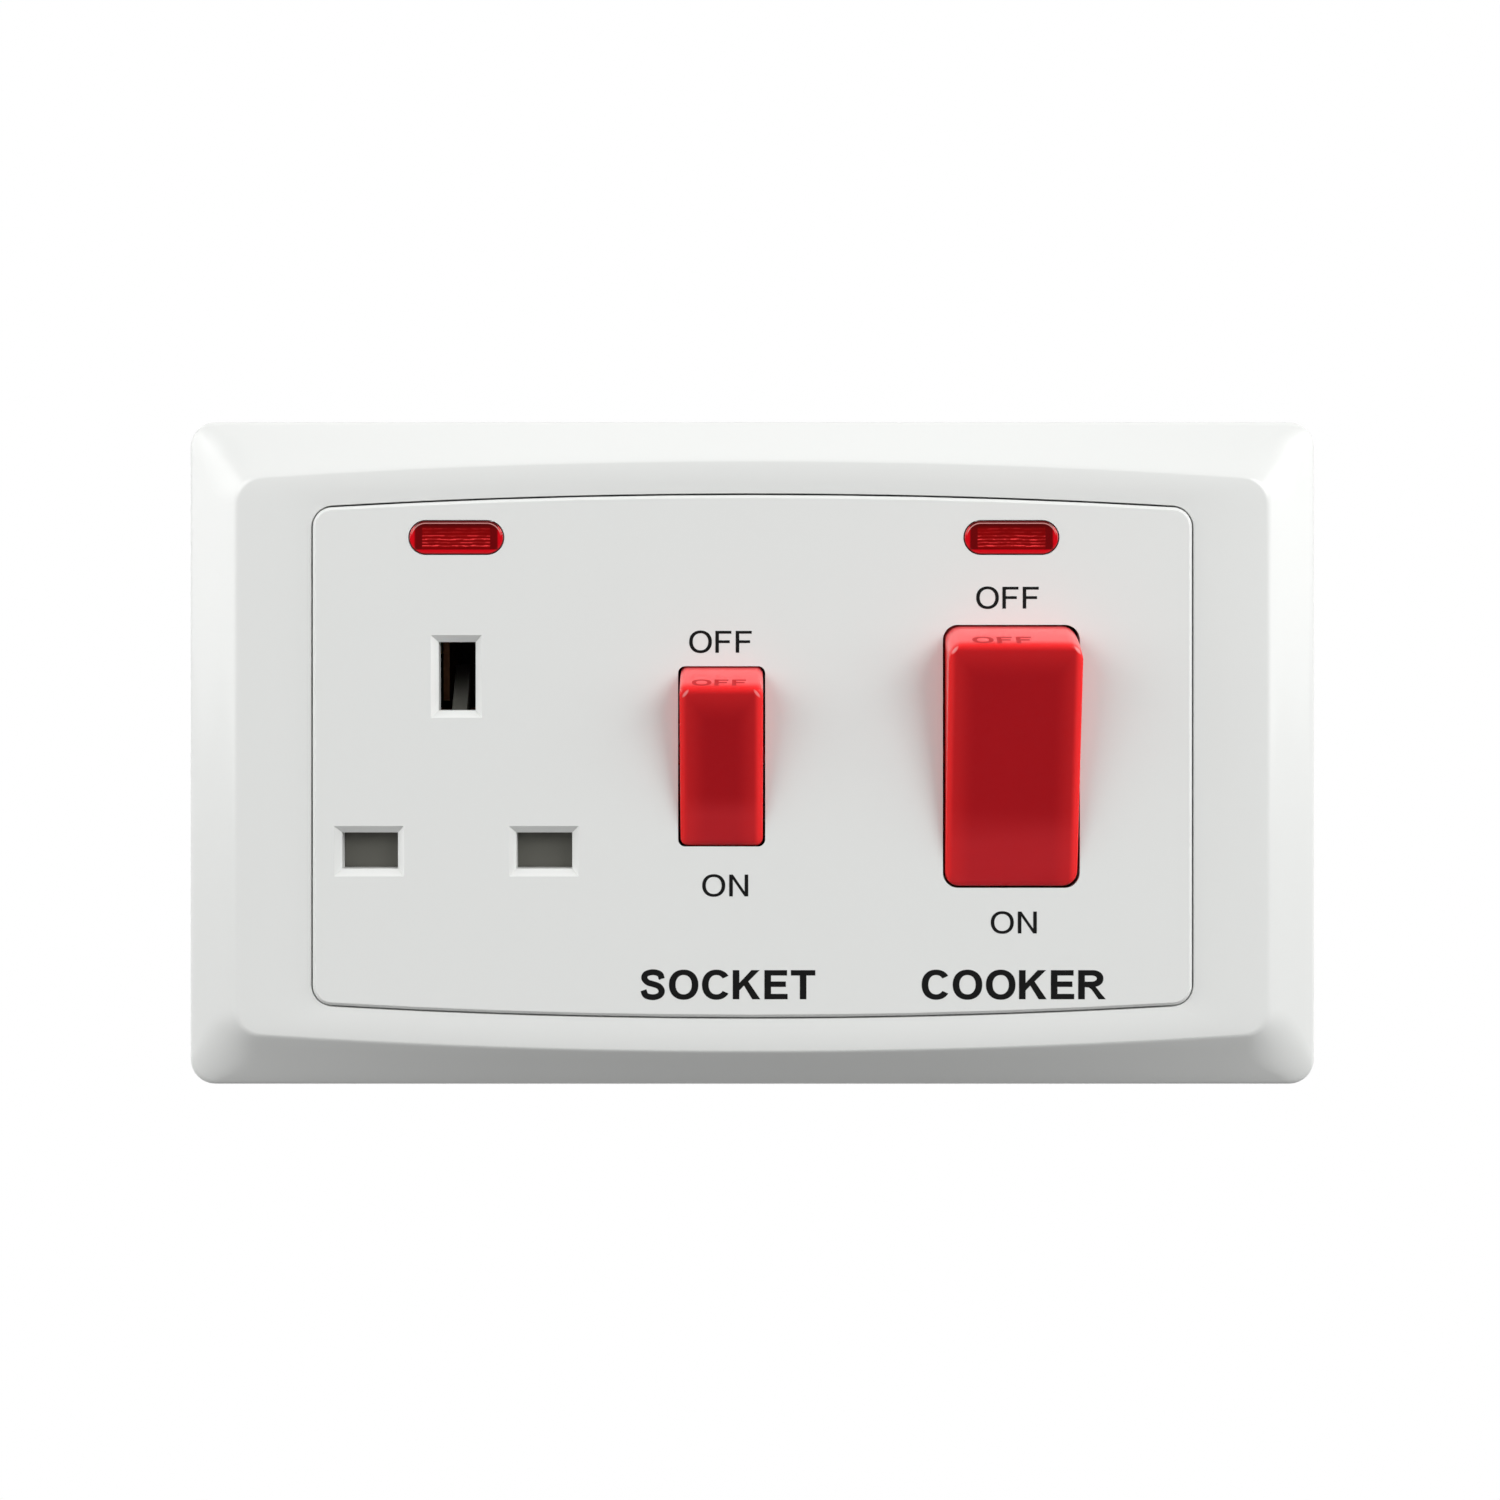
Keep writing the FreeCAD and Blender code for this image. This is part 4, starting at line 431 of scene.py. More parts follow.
def capital(sign, stem, bar):
    """A capital's width, then its loops; stem and bar are the stroke widths."""
    if sign == "O":
        return 0.96, [oval((0.48, 0.5), (0.48, 0.517)),
                      oval((0.48, 0.5), (0.48 - stem, 0.517 - bar))]
    if sign == "C":
        return 0.89, [oval((0.47, 0.5), (0.47, 0.517), 34, 326)
                      + oval((0.47, 0.5), (0.47 - stem, 0.517 - bar), 322, 38)]
    if sign == "S":
        spine = [(0.7, 0.7), (0.63, 0.87), (0.41, 0.93), (0.19, 0.87), (0.13, 0.72),
                 (0.24, 0.58), (0.42, 0.52), (0.61, 0.44), (0.7, 0.28), (0.62, 0.13),
                 (0.41, 0.07), (0.18, 0.13), (0.1, 0.31)]
        return 0.82, [ribbon(spine, (stem + bar) / 2)]
    if sign == "F":
        return 0.68, [[(0, 0), (0, 1), (0.68, 1), (0.68, 1 - bar), (stem, 1 - bar), (stem, 0.57),
                       (0.61, 0.57), (0.61, 0.57 - bar), (stem, 0.57 - bar), (stem, 0)]]
    if sign == "E":
        return 0.76, [[(0, 0), (0, 1), (0.74, 1), (0.74, 1 - bar), (stem, 1 - bar), (stem, 0.61),
                       (0.7, 0.61), (0.7, 0.61 - bar), (stem, 0.61 - bar), (stem, bar),
                       (0.76, bar), (0.76, 0)]]
    if sign == "T":
        return 0.8, [[(0.4 - stem / 2, 0), (0.4 - stem / 2, 1 - bar), (0, 1 - bar), (0, 1),
                      (0.8, 1), (0.8, 1 - bar), (0.4 + stem / 2, 1 - bar), (0.4 + stem / 2, 0)]]
    if sign == "N":
        return 0.79, [[(0, 0), (0, 1), (stem, 1), (0.79 - stem, 0.22), (0.79 - stem, 1),
                       (0.79, 1), (0.79, 0), (0.79 - stem, 0), (stem, 0.78), (stem, 0)]]
    if sign == "K":
        return 0.9, [[(0, 0), (0, 1), (stem, 1), (stem, 0.56), (0.61, 1), (0.88, 1), (0.505, 0.61),
                      (0.9, 0), (0.64, 0), (0.365, 0.47), (stem, 0.3), (stem, 0)]]

    # R, the only sign left
    bowl = oval((0.46, 0.71), (0.36, 0.29), 90, -75, 20)
    hole = oval((0.42, 0.71), (0.4 - stem, 0.29 - bar), 90, -90, 20)
    return 0.9, [[(0, 0), (0, 1), *bowl, (0.62, 0.36), (0.73, 0.21), (0.9, 0), (0.66, 0),
                  (0.5, 0.24), (0.42, 0.35), (0.34, 0.405), (stem, 0.415), (stem, 0)],
                 [(stem, 0.71 + 0.29 - bar), *hole, (stem, 0.71 - 0.29 + bar)]]


# The space on each side of a capital
BEARINGS = {"O": 0.06, "C": 0.06, "S": 0.055, "T": 0.025, "K": 0.055, "E": 0.08, "F": 0.09,
            "N": 0.105, "R": 0.05}


def text_mesh(words, cap_height, width, stem, bar, thick):
    """Raised lettering centred on the origin in the X-Z plane, facing the front."""
    curve = bpy.data.curves.new(words, "CURVE")
    curve.dimensions = "2D"
    curve.fill_mode = "BOTH"
    pen = 0
    for sign in words:
        reach, loops = capital(sign, stem, bar)
        pen += BEARINGS[sign]
        for loop in loops:
            clean = [point for i, point in enumerate(loop)
                     if (Vector(point) - Vector(loop[i - 1])).length > 1e-5]
            spline = curve.splines.new("POLY")
            spline.points.add(len(clean) - 1)
            for point, (x, z) in zip(spline.points, clean):
                point.co = (pen + x, z, 0, 1)
            spline.use_cyclic_u = True
        pen += reach + BEARINGS[sign]
    writer = new_object(words, curve)
    mesh = baked_mesh(writer)
    bpy.data.objects.remove(writer)
    xs = [vert.co.x for vert in mesh.vertices]
    scale, middle = width / (max(xs) - min(xs)), (max(xs) + min(xs)) / 2
    for vert in mesh.vertices:
        vert.co = ((vert.co.x - middle) * scale, 0, (vert.co.y - 0.5) * cap_height)
    shape = bmesh.new()
    shape.from_mesh(mesh)
    bpy.data.meshes.remove(mesh)
    bmesh.ops.remove_doubles(shape, verts=shape.verts, dist=1e-7)

    # An extrusion by hand, so that its faces come in the same order each run
    sides = [edge.verts[:] for edge in shape.edges if edge.is_boundary]
    raised = {vert: shape.verts.new(vert.co - Vector((0, thick, 0))) for vert in shape.verts[:]}
    for face in shape.faces[:]:
        shape.faces.new([raised[vert] for vert in face.verts])
    for first, second in sides:
        shape.faces.new((first, second, raised[second], raised[first]))
    bmesh.ops.recalc_face_normals(shape, faces=shape.faces)
    return to_mesh(words, shape)


# Sizes and colours that a user would change

class CookerFinishes(bpy.types.PropertyGroup):
    white: FloatVectorProperty(
        name="White plastic", description="Colour of the plate and its surround",
        default=(0.78, 0.79, 0.775), subtype="COLOR", min=0, max=1)
    white_roughness: FloatProperty(
        name="White roughness", description="How dull the white plastic is", default=0.3,
        subtype="FACTOR", min=0, max=1)
    rocker_red: FloatVectorProperty(
        name="Rocker red", description="Colour of the rockers' faces",
        default=(0.40, 0.0035, 0.008), subtype="COLOR", min=0, max=1)
    # Painted glow: colour that stands in for light coming through the rockers' edges
    rocker_painted_glow: FloatVectorProperty(
        name="Rocker edge", description="Colour of the rockers' edges, where light comes through",
        default=(0.8, 0.022, 0.024), subtype="COLOR", min=0, max=1)
    # Painted highlight along the rockers' right-hand edges
    rocker_rim_highlight: FloatVectorProperty(
        name="Rocker rim", description="Colour of the rockers' right-hand edges",
        default=(1.0, 0.03, 0.032), subtype="COLOR", min=0, max=1)
    # Painted sheen on the rockers' upper ends
    rocker_end_sheen: FloatVectorProperty(
        name="Rocker end", description="Colour of the rockers' ends", default=(0.94, 0.13, 0.135),
        subtype="COLOR", min=0, max=1)
    lens_red: FloatVectorProperty(
        name="Lens red", description="Colour of the pilot lenses", default=(0.22, 0.0015, 0.002),
        subtype="COLOR", min=0, max=1)
    ink: FloatVectorProperty(
        name="Lettering", description="Colour of the lettering on the plate",
        default=(0.004, 0.004, 0.004), subtype="COLOR", min=0, max=1)
    shutter_grey: FloatVectorProperty(
        name="Shutter", description="Colour of the shutter behind the pin windows",
        default=(0.102, 0.101, 0.086), subtype="COLOR", min=0, max=1)
    moulding: FloatVectorProperty(
        name="Rear moulding", description="Colour of the rear housing",
        default=(0.022, 0.019, 0.017), subtype="COLOR", min=0, max=1)


class CookerEdges(bpy.types.PropertyGroup):
    rim: FloatProperty(
        name="Rim edge", description="Rounding of the surround's outer edge", default=0.0005,
        unit="LENGTH", min=0)
    plateau: FloatProperty(
        name="Plateau edge", description="Rounding where the bevel meets the plateau",
        default=0.0005, unit="LENGTH", min=0)
    window: FloatProperty(
        name="Window edge", description="Rounding of the surround's inner edge", default=0.00012,
        unit="LENGTH", min=0)
    panel: FloatProperty(
        name="Panel edge", description="Rounding of the small edges of the front plate",
        default=0.00014, unit="LENGTH", min=0)
    shutter: FloatProperty(
        name="Shutter edge", description="Rounding of the shutter", default=0.00015,
        unit="LENGTH", min=0)
    housing: FloatProperty(
        name="Housing edge", description="Rounding of the rear housing", default=0.0002,
        unit="LENGTH", min=0)


class CookerLettering(bpy.types.PropertyGroup):
    cap_height: FloatProperty(
        name="ON and OFF height", description="Height of the ON and OFF lettering",
        default=0.00278, unit="LENGTH", min=0)
    word_height: FloatProperty(
        name="Word height", description="Height of the words SOCKET and COOKER",
        default=0.0037, unit="LENGTH", min=0)
    weight: FloatProperty(
        name="Weight", description="Stroke width of ON and OFF, as a share of their height",
        default=0.15, min=0)
    bold_weight: FloatProperty(
        name="Bold weight",
        description="Stroke width of the bold words, as a share of their height",
        default=0.215, min=0)
    thick: FloatProperty(
        name="Ink thickness", description="How far the ink stands off the plastic",
        default=0.00002, unit="LENGTH", min=0)


class CookerSprings(bpy.types.PropertyGroup):
    wire: FloatProperty(
        name="Wire", description="Diameter of the spring wire", default=0.00038,
        unit="LENGTH", min=0)
    plunger_turns: FloatProperty(
        name="Plunger spring turns", description="Turns of each plunger spring", default=7, min=1)
    shutter_turns: FloatProperty(
        name="Shutter spring turns", description="Turns of the shutter spring", default=9, min=1)


class CookerStudio(bpy.types.PropertyGroup):
    distance: FloatProperty(
        name="Camera distance", description="From the wall plane to the camera", default=0.300,
        unit="LENGTH", min=0)
    height: FloatProperty(
        name="Camera height", description="Above the middle of the plate", default=0.019,
        unit="LENGTH")
    sideways: FloatProperty(
        name="Camera sideways", description="To the right of the middle", default=-0.0003,
        unit="LENGTH")
    lens: FloatProperty(
        name="Focal length", description="In millimetres on a 36 mm sensor", default=54.8, min=1)
    shift: FloatProperty(
        name="Vertical shift", description="Moves the frame so that the plate is centred",
        default=-0.0955)
    floor: FloatProperty(
        name="Floor level", description="Height of the pale floor", default=-0.26, unit="LENGTH")
    top_lamp: FloatProperty(
        name="Top lamp", description="Power of the lamp above", default=0.2, min=0)
    left_lamp: FloatProperty(
        name="Left lamp", description="Power of the lamp at the left", default=5.5, min=0)
    right_lamp: FloatProperty(
        name="Right lamp", description="Power of the lamp at the right", default=5.1, min=0)
    left_fill: FloatProperty(
        name="Left fill", description="Power of the lamp at the front left", default=4.0, min=0)
    right_fill: FloatProperty(
        name="Right fill", description="Power of the lamp at the front right", default=6.7, min=0)
    ambient: FloatProperty(
        name="Ambient", description="Strength of the light from all round", default=0.46, min=0)


GROUPS = {
    "cooker_finishes": CookerFinishes,
    "cooker_edges": CookerEdges,
    "cooker_lettering": CookerLettering,
    "cooker_springs": CookerSprings,
    "cooker_studio": CookerStudio,
}


# Sizes that the solids fix, in millimetres and degrees

SOCKET_X, COOKER_X = -37.6, 32.9
ROCKERS = {
    "cooker": {"x": COOKER_X, "width": 17.4, "height": 33.4, "corner": 1.9, "proud": 2.84,
               "tilt": 11, "stems": {"cooker_live": -5.5, "cooker_neutral": 5.5},
               "letters": (7.4, 1.6, -1.7)},
    "socket": {"x": -3.9, "width": 11.07, "height": 22.9, "corner": 0.9, "proud": 2.3,
               "tilt": 13, "stems": {"socket": 0}, "letters": (6.8, 1.2, -0.3)},
}
PIVOT_Y = -6.7
PIVOT_DEPTH = 3.3
ROCKER_GAP = 0.3
ROCKER_BACK = 3.2
ROCKER_WALL = 1.8
TRUNNION_RADIUS, TRUNNION_REACH = 1.3, 1.6
STEM_RADIUS, STEM_BORE, BORE_END, STEM_END = 2.4, 1.6, 1.8, 8.92
COIL_FOOT, COIL_LENGTH, COIL_RADIUS = 1.85, 4.3, 1.44
LENS_HALF, LENS_Z = (6.02, 2.145), 27.8


def half_width(rocker):
    return rocker["width"] / 2 - ROCKER_GAP


def face_depth(rocker):
    """How far a rocker's face stands in front of its pivot axis."""
    return PIVOT_DEPTH + rocker["proud"]


def end_radius(rocker):
    """How far a rocker's ends stand from its pivot axis."""
    return math.hypot(rocker["height"] / 2, PIVOT_DEPTH) - ROCKER_GAP


def half_height(rocker):
    """Half the height of a rocker's face."""
    return math.sqrt(end_radius(rocker) ** 2 - face_depth(rocker) ** 2)


# Finishes

def white_plastic(finishes):
    """Glossy urea moulding, faintly uneven in tone and with a fine orange peel."""
    made = Finish("white_plastic", roughness=finishes.white_roughness, ior=1.5, coat_weight=0.25,
                  coat_roughness=0.12)
    made.set("Base Color", made.clouds(0.03, 3, shade(finishes.white, 0.985), finishes.white))
    made.set("Roughness", finishes.white_roughness - 0.04 + made.noise(0.004) * 0.08)
    made.bump(made.noise(0.0006, 2), 0.000004)
    return made


def rocker_plastic(finishes, which):
    """Deep red moulding, with a painted glow at its edges, a painted highlight on its right-hand
    edges, painted glints at its upper corners, a painted reflection low on its face and a painted
    sheen on its upper end.
    """
    made = Finish(f"{which}_rocker_plastic", roughness=0.2, ior=1.5, subsurface_weight=0.2,
                  subsurface_radius=(1.0, 0.06, 0.06), subsurface_scale=0.0022, coat_weight=0.08,
                  coat_roughness=0.08, specular_ior_level=0.2)
    rocker = ROCKERS[which]
    tilt = math.radians(rocker["tilt"])
    half_x, half_z, face = half_width(rocker), half_height(rocker), face_depth(rocker)

    # Millimetres across the face, up it and out of it, from the pivot axis
    x, y, z = made.place()
    across, back, rise = (x / MM) - rocker["x"], (y - PIVOT_Y * MM) / MM, z / MM
    up = rise * math.cos(tilt) - back * math.sin(tilt)
    out = 0 - (back * math.cos(tilt) + rise * math.sin(tilt))

    # The face, with a painted reflection low down and a painted glow along its edges
    side = abs(across).above(half_x - 0.6, 0.8) * 0.6 + abs(across).above(half_x - 1.9, 3.6) * 0.4
    top = up.above(half_z - 0.35, 0.8) * 0.62 + up.above(half_z - 2.2, 4.4) * 0.38
    low = up.below(-0.5 * half_z, 0.35 * half_z)
    deep = made.clouds(0.012, 3, shade(finishes.rocker_red, 0.93), finishes.rocker_red)
    # Painted reflection: a paler band low on the face
    reflected_red = tuple(v + lift for v, lift in zip(finishes.rocker_red, (0.1, 0.011, 0.013)))
    red = made.mix(low * (0.6 + made.noise(0.008, 2, (0.3, 1, 2)) * 0.6), deep, reflected_red)
    # Painted glow along the face's side and top edges
    red = made.mix(side.at_least(top), red, finishes.rocker_painted_glow)
    # Painted highlight along the right-hand edge
    red = made.mix(across.above(half_x - 0.8, 0.9) * 0.8, red, finishes.rocker_rim_highlight)

    # A painted glint across each upper corner
    glint_x, glint_z = (abs(across) - (half_x - 0.75)) * 1.2, up - (half_z - 0.55)
    over, along = glint_x + glint_z, glint_x - glint_z
    glint = over * over + along * along * 0.1
    red = made.mix(glint.below(0.07, 0.12) * 0.5, red, (1.0, 0.45, 0.45))

    # The walls, in the painted glow, with a painted sheen at the upper end
    end_sheen = up.above(half_z - 1.2, 1.2) * out.below(face - 0.9, 1.2)
    wall = made.mix(end_sheen, finishes.rocker_painted_glow, finishes.rocker_end_sheen)
    made.set("Base Color", made.mix(out.below(face - 0.45, 0.5), red, wall))
    made.set("Roughness", 0.17 + made.noise(0.003) * 0.07)
    made.bump(made.noise(0.0008, 2), 0.000004)
    return made


def rocker_ink():
    """The faint darker red of the rockers' own lettering."""
    made = Finish("rocker_ink", roughness=0.35, specular_ior_level=0.3)
    made.set("Base Color", made.clouds(0.002, 2, (0.5, 0.012, 0.016), (0.56, 0.02, 0.024)))
    return made


def plate_ink(finishes):
    """Dull black ink."""
    made = Finish("plate_ink", roughness=0.5, specular_ior_level=0.2)
    lighter = tuple(channel + 0.004 for channel in finishes.ink)
    made.set("Base Color", made.clouds(0.001, 2, finishes.ink, lighter))
    return made


def shutter_plastic(finishes):
    """Dull olive grey moulding with a faint flow pattern, and painted shade up its ramp, deepening
    into the recess.
    """
    made = Finish("shutter_plastic", roughness=0.55, ior=1.5)
    grey = made.clouds(0.004, 3, finishes.shutter_grey, shade(finishes.shutter_grey, 1.15))
    x, _, z = made.place()
    # Painted shade on the ramp, darkest where it reaches deep into the recess
    ramp_shade = abs(x / MM - SOCKET_X).below(1.4, 0.2) * (z / MM).above(5.0, 0.4)
    grey = made.mix(ramp_shade * (0.08 + (z / MM).above(8.8, 4.0) * 0.92), grey,
                    (0.006, 0.003, 0.002))
    made.set("Base Color", grey)
    made.bump(made.noise(0.0004, 2), 0.000004)
    return made


def rear_moulding(finishes):
    """Thermoset moulding, near black with paler specks."""
    made = Finish("rear_moulding", roughness=0.5, ior=1.5)
    specks = made.noise(0.0005, 1).above(0.66, 0.06)
    tone = made.clouds(0.01, 3, finishes.moulding, shade(finishes.moulding, 1.5))
    made.set("Base Color", made.mix(specks * 0.5, tone, (0.09, 0.075, 0.06)))
    made.set("Roughness", 0.42 + made.noise(0.002) * 0.16)
    made.bump(made.noise(0.0005, 3), 0.00001)
    return made


# Each metal's bright and tarnished colours, roughness, and the stretch of its marks
METALS = {
    "spring_steel": ((0.62, 0.62, 0.63), (0.5, 0.5, 0.51), 0.22, (1, 1, 1)),
    "screw_steel": ((0.6, 0.6, 0.62), (0.48, 0.48, 0.5), 0.25, (1, 1, 1)),
    "brass_strip": ((0.78, 0.55, 0.22), (0.66, 0.44, 0.17), 0.24, (1, 1, 12)),
    "clip_bronze": ((0.8, 0.4, 0.22), (0.62, 0.28, 0.15), 0.24, (1, 1, 12)),
}


def metal(name):
    """Worked metal with drawing marks along one axis and faint tarnish."""
    bright, dull, roughness, stretch = METALS[name]
    made = Finish(name, metallic=1.0)
    made.set("Base Color", made.clouds(0.003, 4, bright, dull))
    marks = made.noise(0.0006, 3, stretch)
    made.set("Roughness", roughness + marks * 0.16)
    made.bump(marks, 0.000003)
    return made


def nylon():
    """Natural nylon, a little translucent."""
    made = Finish("plunger_nylon", roughness=0.45, subsurface_weight=0.2,
                  subsurface_radius=(1.0, 0.8, 0.6), subsurface_scale=0.001)
    made.set("Base Color", made.clouds(0.002, 2, (0.74, 0.7, 0.58), (0.8, 0.77, 0.66)))
    return made


def lamp_glass():
    """Clear glass with a warm tint from the lamp inside."""
    made = Finish("lamp_glass", roughness=0.06, ior=1.45, transmission_weight=0.85)
    made.set("Base Color", made.clouds(0.003, 2, (0.95, 0.86, 0.78), (0.9, 0.72, 0.6)))
    return made


# The ribs' heights from the lens's middle, in millimetres, and the strengths of their painted
# highlights
RIBS = ((1.1, 0.15), (0.66, 0.12), (0.18, 0.5), (-0.26, 1.0), (-0.66, 0.5), (-1.06, 1.0))


def lens_plastic(finishes, which, middle):
    """Clear red lens: a dark frame round a ribbed field, with painted highlights in the ribs,
    painted light at its ends and low down, a painted highlight on the brim and painted shade at the
    rim.
    """
    half_x, half_z = LENS_HALF
    made = Finish(f"{which}_lens_plastic", ior=1.5, coat_roughness=0.02, specular_ior_level=0.35)
    x, _, z = made.place()
    across, up = (x - middle * MM) / MM, (z - LENS_Z * MM) / MM

    # The ribbed field, darker along its top, with painted highlights along the ribs
    wander = up + (made.noise(0.003, 2, (1, 1, 2)) - 0.5) * 0.25
    field = abs(across).below(half_x - 1.72, 0.16) * abs(up).below(half_z - 0.75, 0.2)
    rib_highlights = 0
    for place, strength in RIBS:
        rib_highlights = abs(wander - place).below(0.07, 0.12) * strength + rib_highlights
    broken = 0.25 + made.noise(0.0011, 2, (1, 1, 5)).above(0.52, 0.14)
    dim = made.mix(made.noise(0.0016, 2, (0.6, 1, 1.6)), shade(finishes.lens_red, 0.7),
                   shade(finishes.lens_red, 1.3))
    ground = made.mix(field, (0.15, 0.002, 0.003), dim)
    ground = made.mix(up.above(1.25, 0.7) * 0.8, ground, (0.08, 0.002, 0.002))
    # Painted highlights where the ribs catch light
    lit = made.mix(field * rib_highlights * broken, ground, (1.0, 0.05, 0.055))

    # Painted light low down and at the ends, a painted highlight along the brim, and painted shade
    # in the gap at the rim
    bend = (abs(across) - (half_x - half_z)).at_least(0.0)
    inset = half_z - (bend * bend + up * up).root()
    # Painted light caught low down and at the round ends
    painted_catchlight = up.below(0.6 - half_z, 0.2) + abs(across).above(half_x - 0.75, 0.3)
    red = made.mix(painted_catchlight.at_most(1.0) * 0.9, lit, (0.7, 0.003, 0.01))
    # Painted highlight: a pale pink line along the upper brim
    brim = abs(inset - 0.34).below(0.06, 0.08) * up.above(0.6, 1.0)
    red = made.mix(brim * 0.75, red, (0.8, 0.36, 0.34))
    # Painted shade: a dark line in the gap round the rim
    rim = inset.below(0.1, 0.1)
    made.set("Base Color", made.mix(rim, red, (0.1, 0.003, 0.003)))
    made.set("Roughness", 0.05 + rim * 0.6)
    made.set("Coat Weight", 0.3 - rim * 0.3)
    return made


def chosen():
    """The colours that the scene holds."""
    return bpy.context.scene.cooker_finishes


# Pieces

class CookerSurround(bpy.types.Operator):
    """The clip-on surround, bevelled down from its plateau to a thin rim"""
    bl_idname = "cooker.surround"
    bl_label = "Surround"

    def execute(self, context):
        edges = context.scene.cooker_edges
        low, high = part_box("cover_frame")
        half_x, half_z, front = high.x, high.z, low.y
        bow = 1 / 0.925
        wall, rim, fine = 2 * MM, -3.6 * MM, 0.1 * MM
        window = (56.12 * MM, 33.42 * MM, 2.8 * MM, bow)
        lip = (57.4 * MM, 34.7 * MM, 4.0 * MM, bow)
        inside = (half_x - wall, half_z - wall, 1.2 * MM, 0)
        profile = [
            (half_x, half_z, 3.2 * MM, 0, 0, fine),
            (half_x, half_z, 3.2 * MM, 0, rim, edges.rim),
            (69.4 * MM, 40.3 * MM, 6.4 * MM, bow / 2, (front + rim) / 2, wall),
            (65.75 * MM, 37.6 * MM, 3.2 * MM, bow, front, edges.plateau),
            (*window, front, edges.window),
            (*window, front + 4.4 * MM, fine),
            (*lip, front + 4.4 * MM, fine),
            (*lip, front + wall, 0),
            (63.75 * MM, 35.6 * MM, 3.2 * MM, bow, front + wall, 2 * fine),
            (*inside, rim, 2 * fine),
            (*inside, 0, fine),
        ]
        meshes = [loft_mesh("surround", ease_profile(profile, closed=True), closed=True)]

        # The tongues that grip the flange
        for x in (-60.3, 60.3):
            for z in (-28, 28):
                meshes.append(box_mesh(((x - 0.8) * MM, front + 1.9 * MM, (z - 1.7) * MM),
                                       ((x + 0.8) * MM, -0.6 * MM, (z + 1.7) * MM)))
        mesh = smooth(merge_meshes("surround", meshes), 30)
        add_piece("surround", mesh, white_plastic(chosen()), "surround", "white_plastic",
                  "cover_frame")
        return {"FINISHED"}


# Each plain moulding's node, piece, body, slot, finish and edge
MOULDINGS = [
    ("front_plate", "plate", "unit", "white_plastic", white_plastic, "panel"),
    ("shutter", "shutter_blades", "shutter", "grey_plastic", shutter_plastic, "shutter"),
    ("rear_housing", "housing", "unit", "dark_moulding", rear_moulding, "housing"),
]


class CookerMouldings(bpy.types.Operator):
    """The front plate, the grey shutter behind its pin windows, and the dark rear housing"""
    bl_idname = "cooker.mouldings"
    bl_label = "Mouldings"

    def execute(self, context):
        for node, name, body, slot, finish, edge in MOULDINGS:
            width = getattr(context.scene.cooker_edges, edge)
            eased_copy(node, name, body, slot, finish(chosen()), width)
        return {"FINISHED"}


def on_pivot(mesh, rocker):
    """Tips a mesh drawn about the pivot axis to the ON position and puts it in place."""
    turn = Matrix.Rotation(math.radians(rocker["tilt"]), 4, "X")
    mesh.transform(Matrix.Translation((rocker["x"] * MM, PIVOT_Y * MM, 0)) @ turn)
    return mesh


def rocker_mesh(name, rocker):
    """A rocker's skin with rounded edges, hollow behind, with its stems and trunnions."""
    radius, half_x, face = end_radius(rocker), half_width(rocker), face_depth(rocker)
    profile = []
    steps = 14
    for i in range(steps + 1):
        y = ROCKER_BACK - (ROCKER_BACK + face) * i / steps
        ease = 0.9 if i == steps else 0
        profile.append((half_x, math.sqrt(radius ** 2 - y * y), rocker["corner"], 0, y, ease))
    top = profile[-1][1]
    profile.append((half_x - 2.4, top - 2.4, 0.6, 0, -face, 0))
    hollow = (half_x - ROCKER_WALL, top - ROCKER_WALL, 0.4, 0)
    rings = [(*hollow, ROCKER_WALL - face), (*hollow, ROCKER_BACK), *ease_profile(profile, 6)]
    shell = loft_mesh(name, in_metres(rings), capped=True, corner_steps=6, spans=8)
    reach = (half_x + TRUNNION_REACH) * MM
    parts = [shell, rod_mesh((-reach, 0, 0), (reach, 0, 0), TRUNNION_RADIUS * MM)]
    for x in rocker["stems"].values():
        parts.append(stem_mesh(x, ROCKER_WALL - face))
    return on_pivot(smooth(merge_meshes(name, parts), 32), rocker)


def stem_mesh(x, start):
    """A tube with a blind bore that guides a plunger."""
    rings = [(radius, radius, radius, 0, y) for radius, y in (
        (STEM_BORE, BORE_END), (STEM_BORE, STEM_END), (STEM_RADIUS, STEM_END),
        (STEM_RADIUS, start))]
    return loft_mesh("stem", in_metres(rings), centre=(x * MM, 0), capped=True, corner_steps=6,
                     spans=2)


def end_letters(rocker):
    """OFF on a rocker's upper end, bent round the pivot axis."""
    radius = end_radius(rocker) * MM
    width, height, aside = (value * MM for value in rocker["letters"])
    below, sunk = 0.75 * MM, 0.01 * MM
    mesh = text_mesh("OFF", height, width, stem=0.2, bar=0.18, thick=0.03 * MM)
    middle = math.asin(face_depth(rocker) * MM / radius) - (height / 2 + below) / radius
    for vert in mesh.vertices:
        angle = middle - vert.co.z / radius
        reach = radius - vert.co.y - sunk
        vert.co = (vert.co.x + aside, -reach * math.sin(angle), reach * math.cos(angle))
    return on_pivot(mesh, rocker)


class CookerRockers(bpy.types.Operator):
    """The two red rockers with the lettering on their upper ends"""
    bl_idname = "cooker.rockers"
    bl_label = "Rockers"

    def execute(self, context):
        ink = rocker_ink()
        for which, rocker in ROCKERS.items():
            body = f"{which}_rocker"
            add_piece(f"{body}_shell", rocker_mesh(which, rocker),
                      rocker_plastic(chosen(), which), body, "red_plastic", body)
            add_piece(f"{body}_letters", end_letters(rocker), ink, body, "red_plastic")
        return {"FINISHED"}


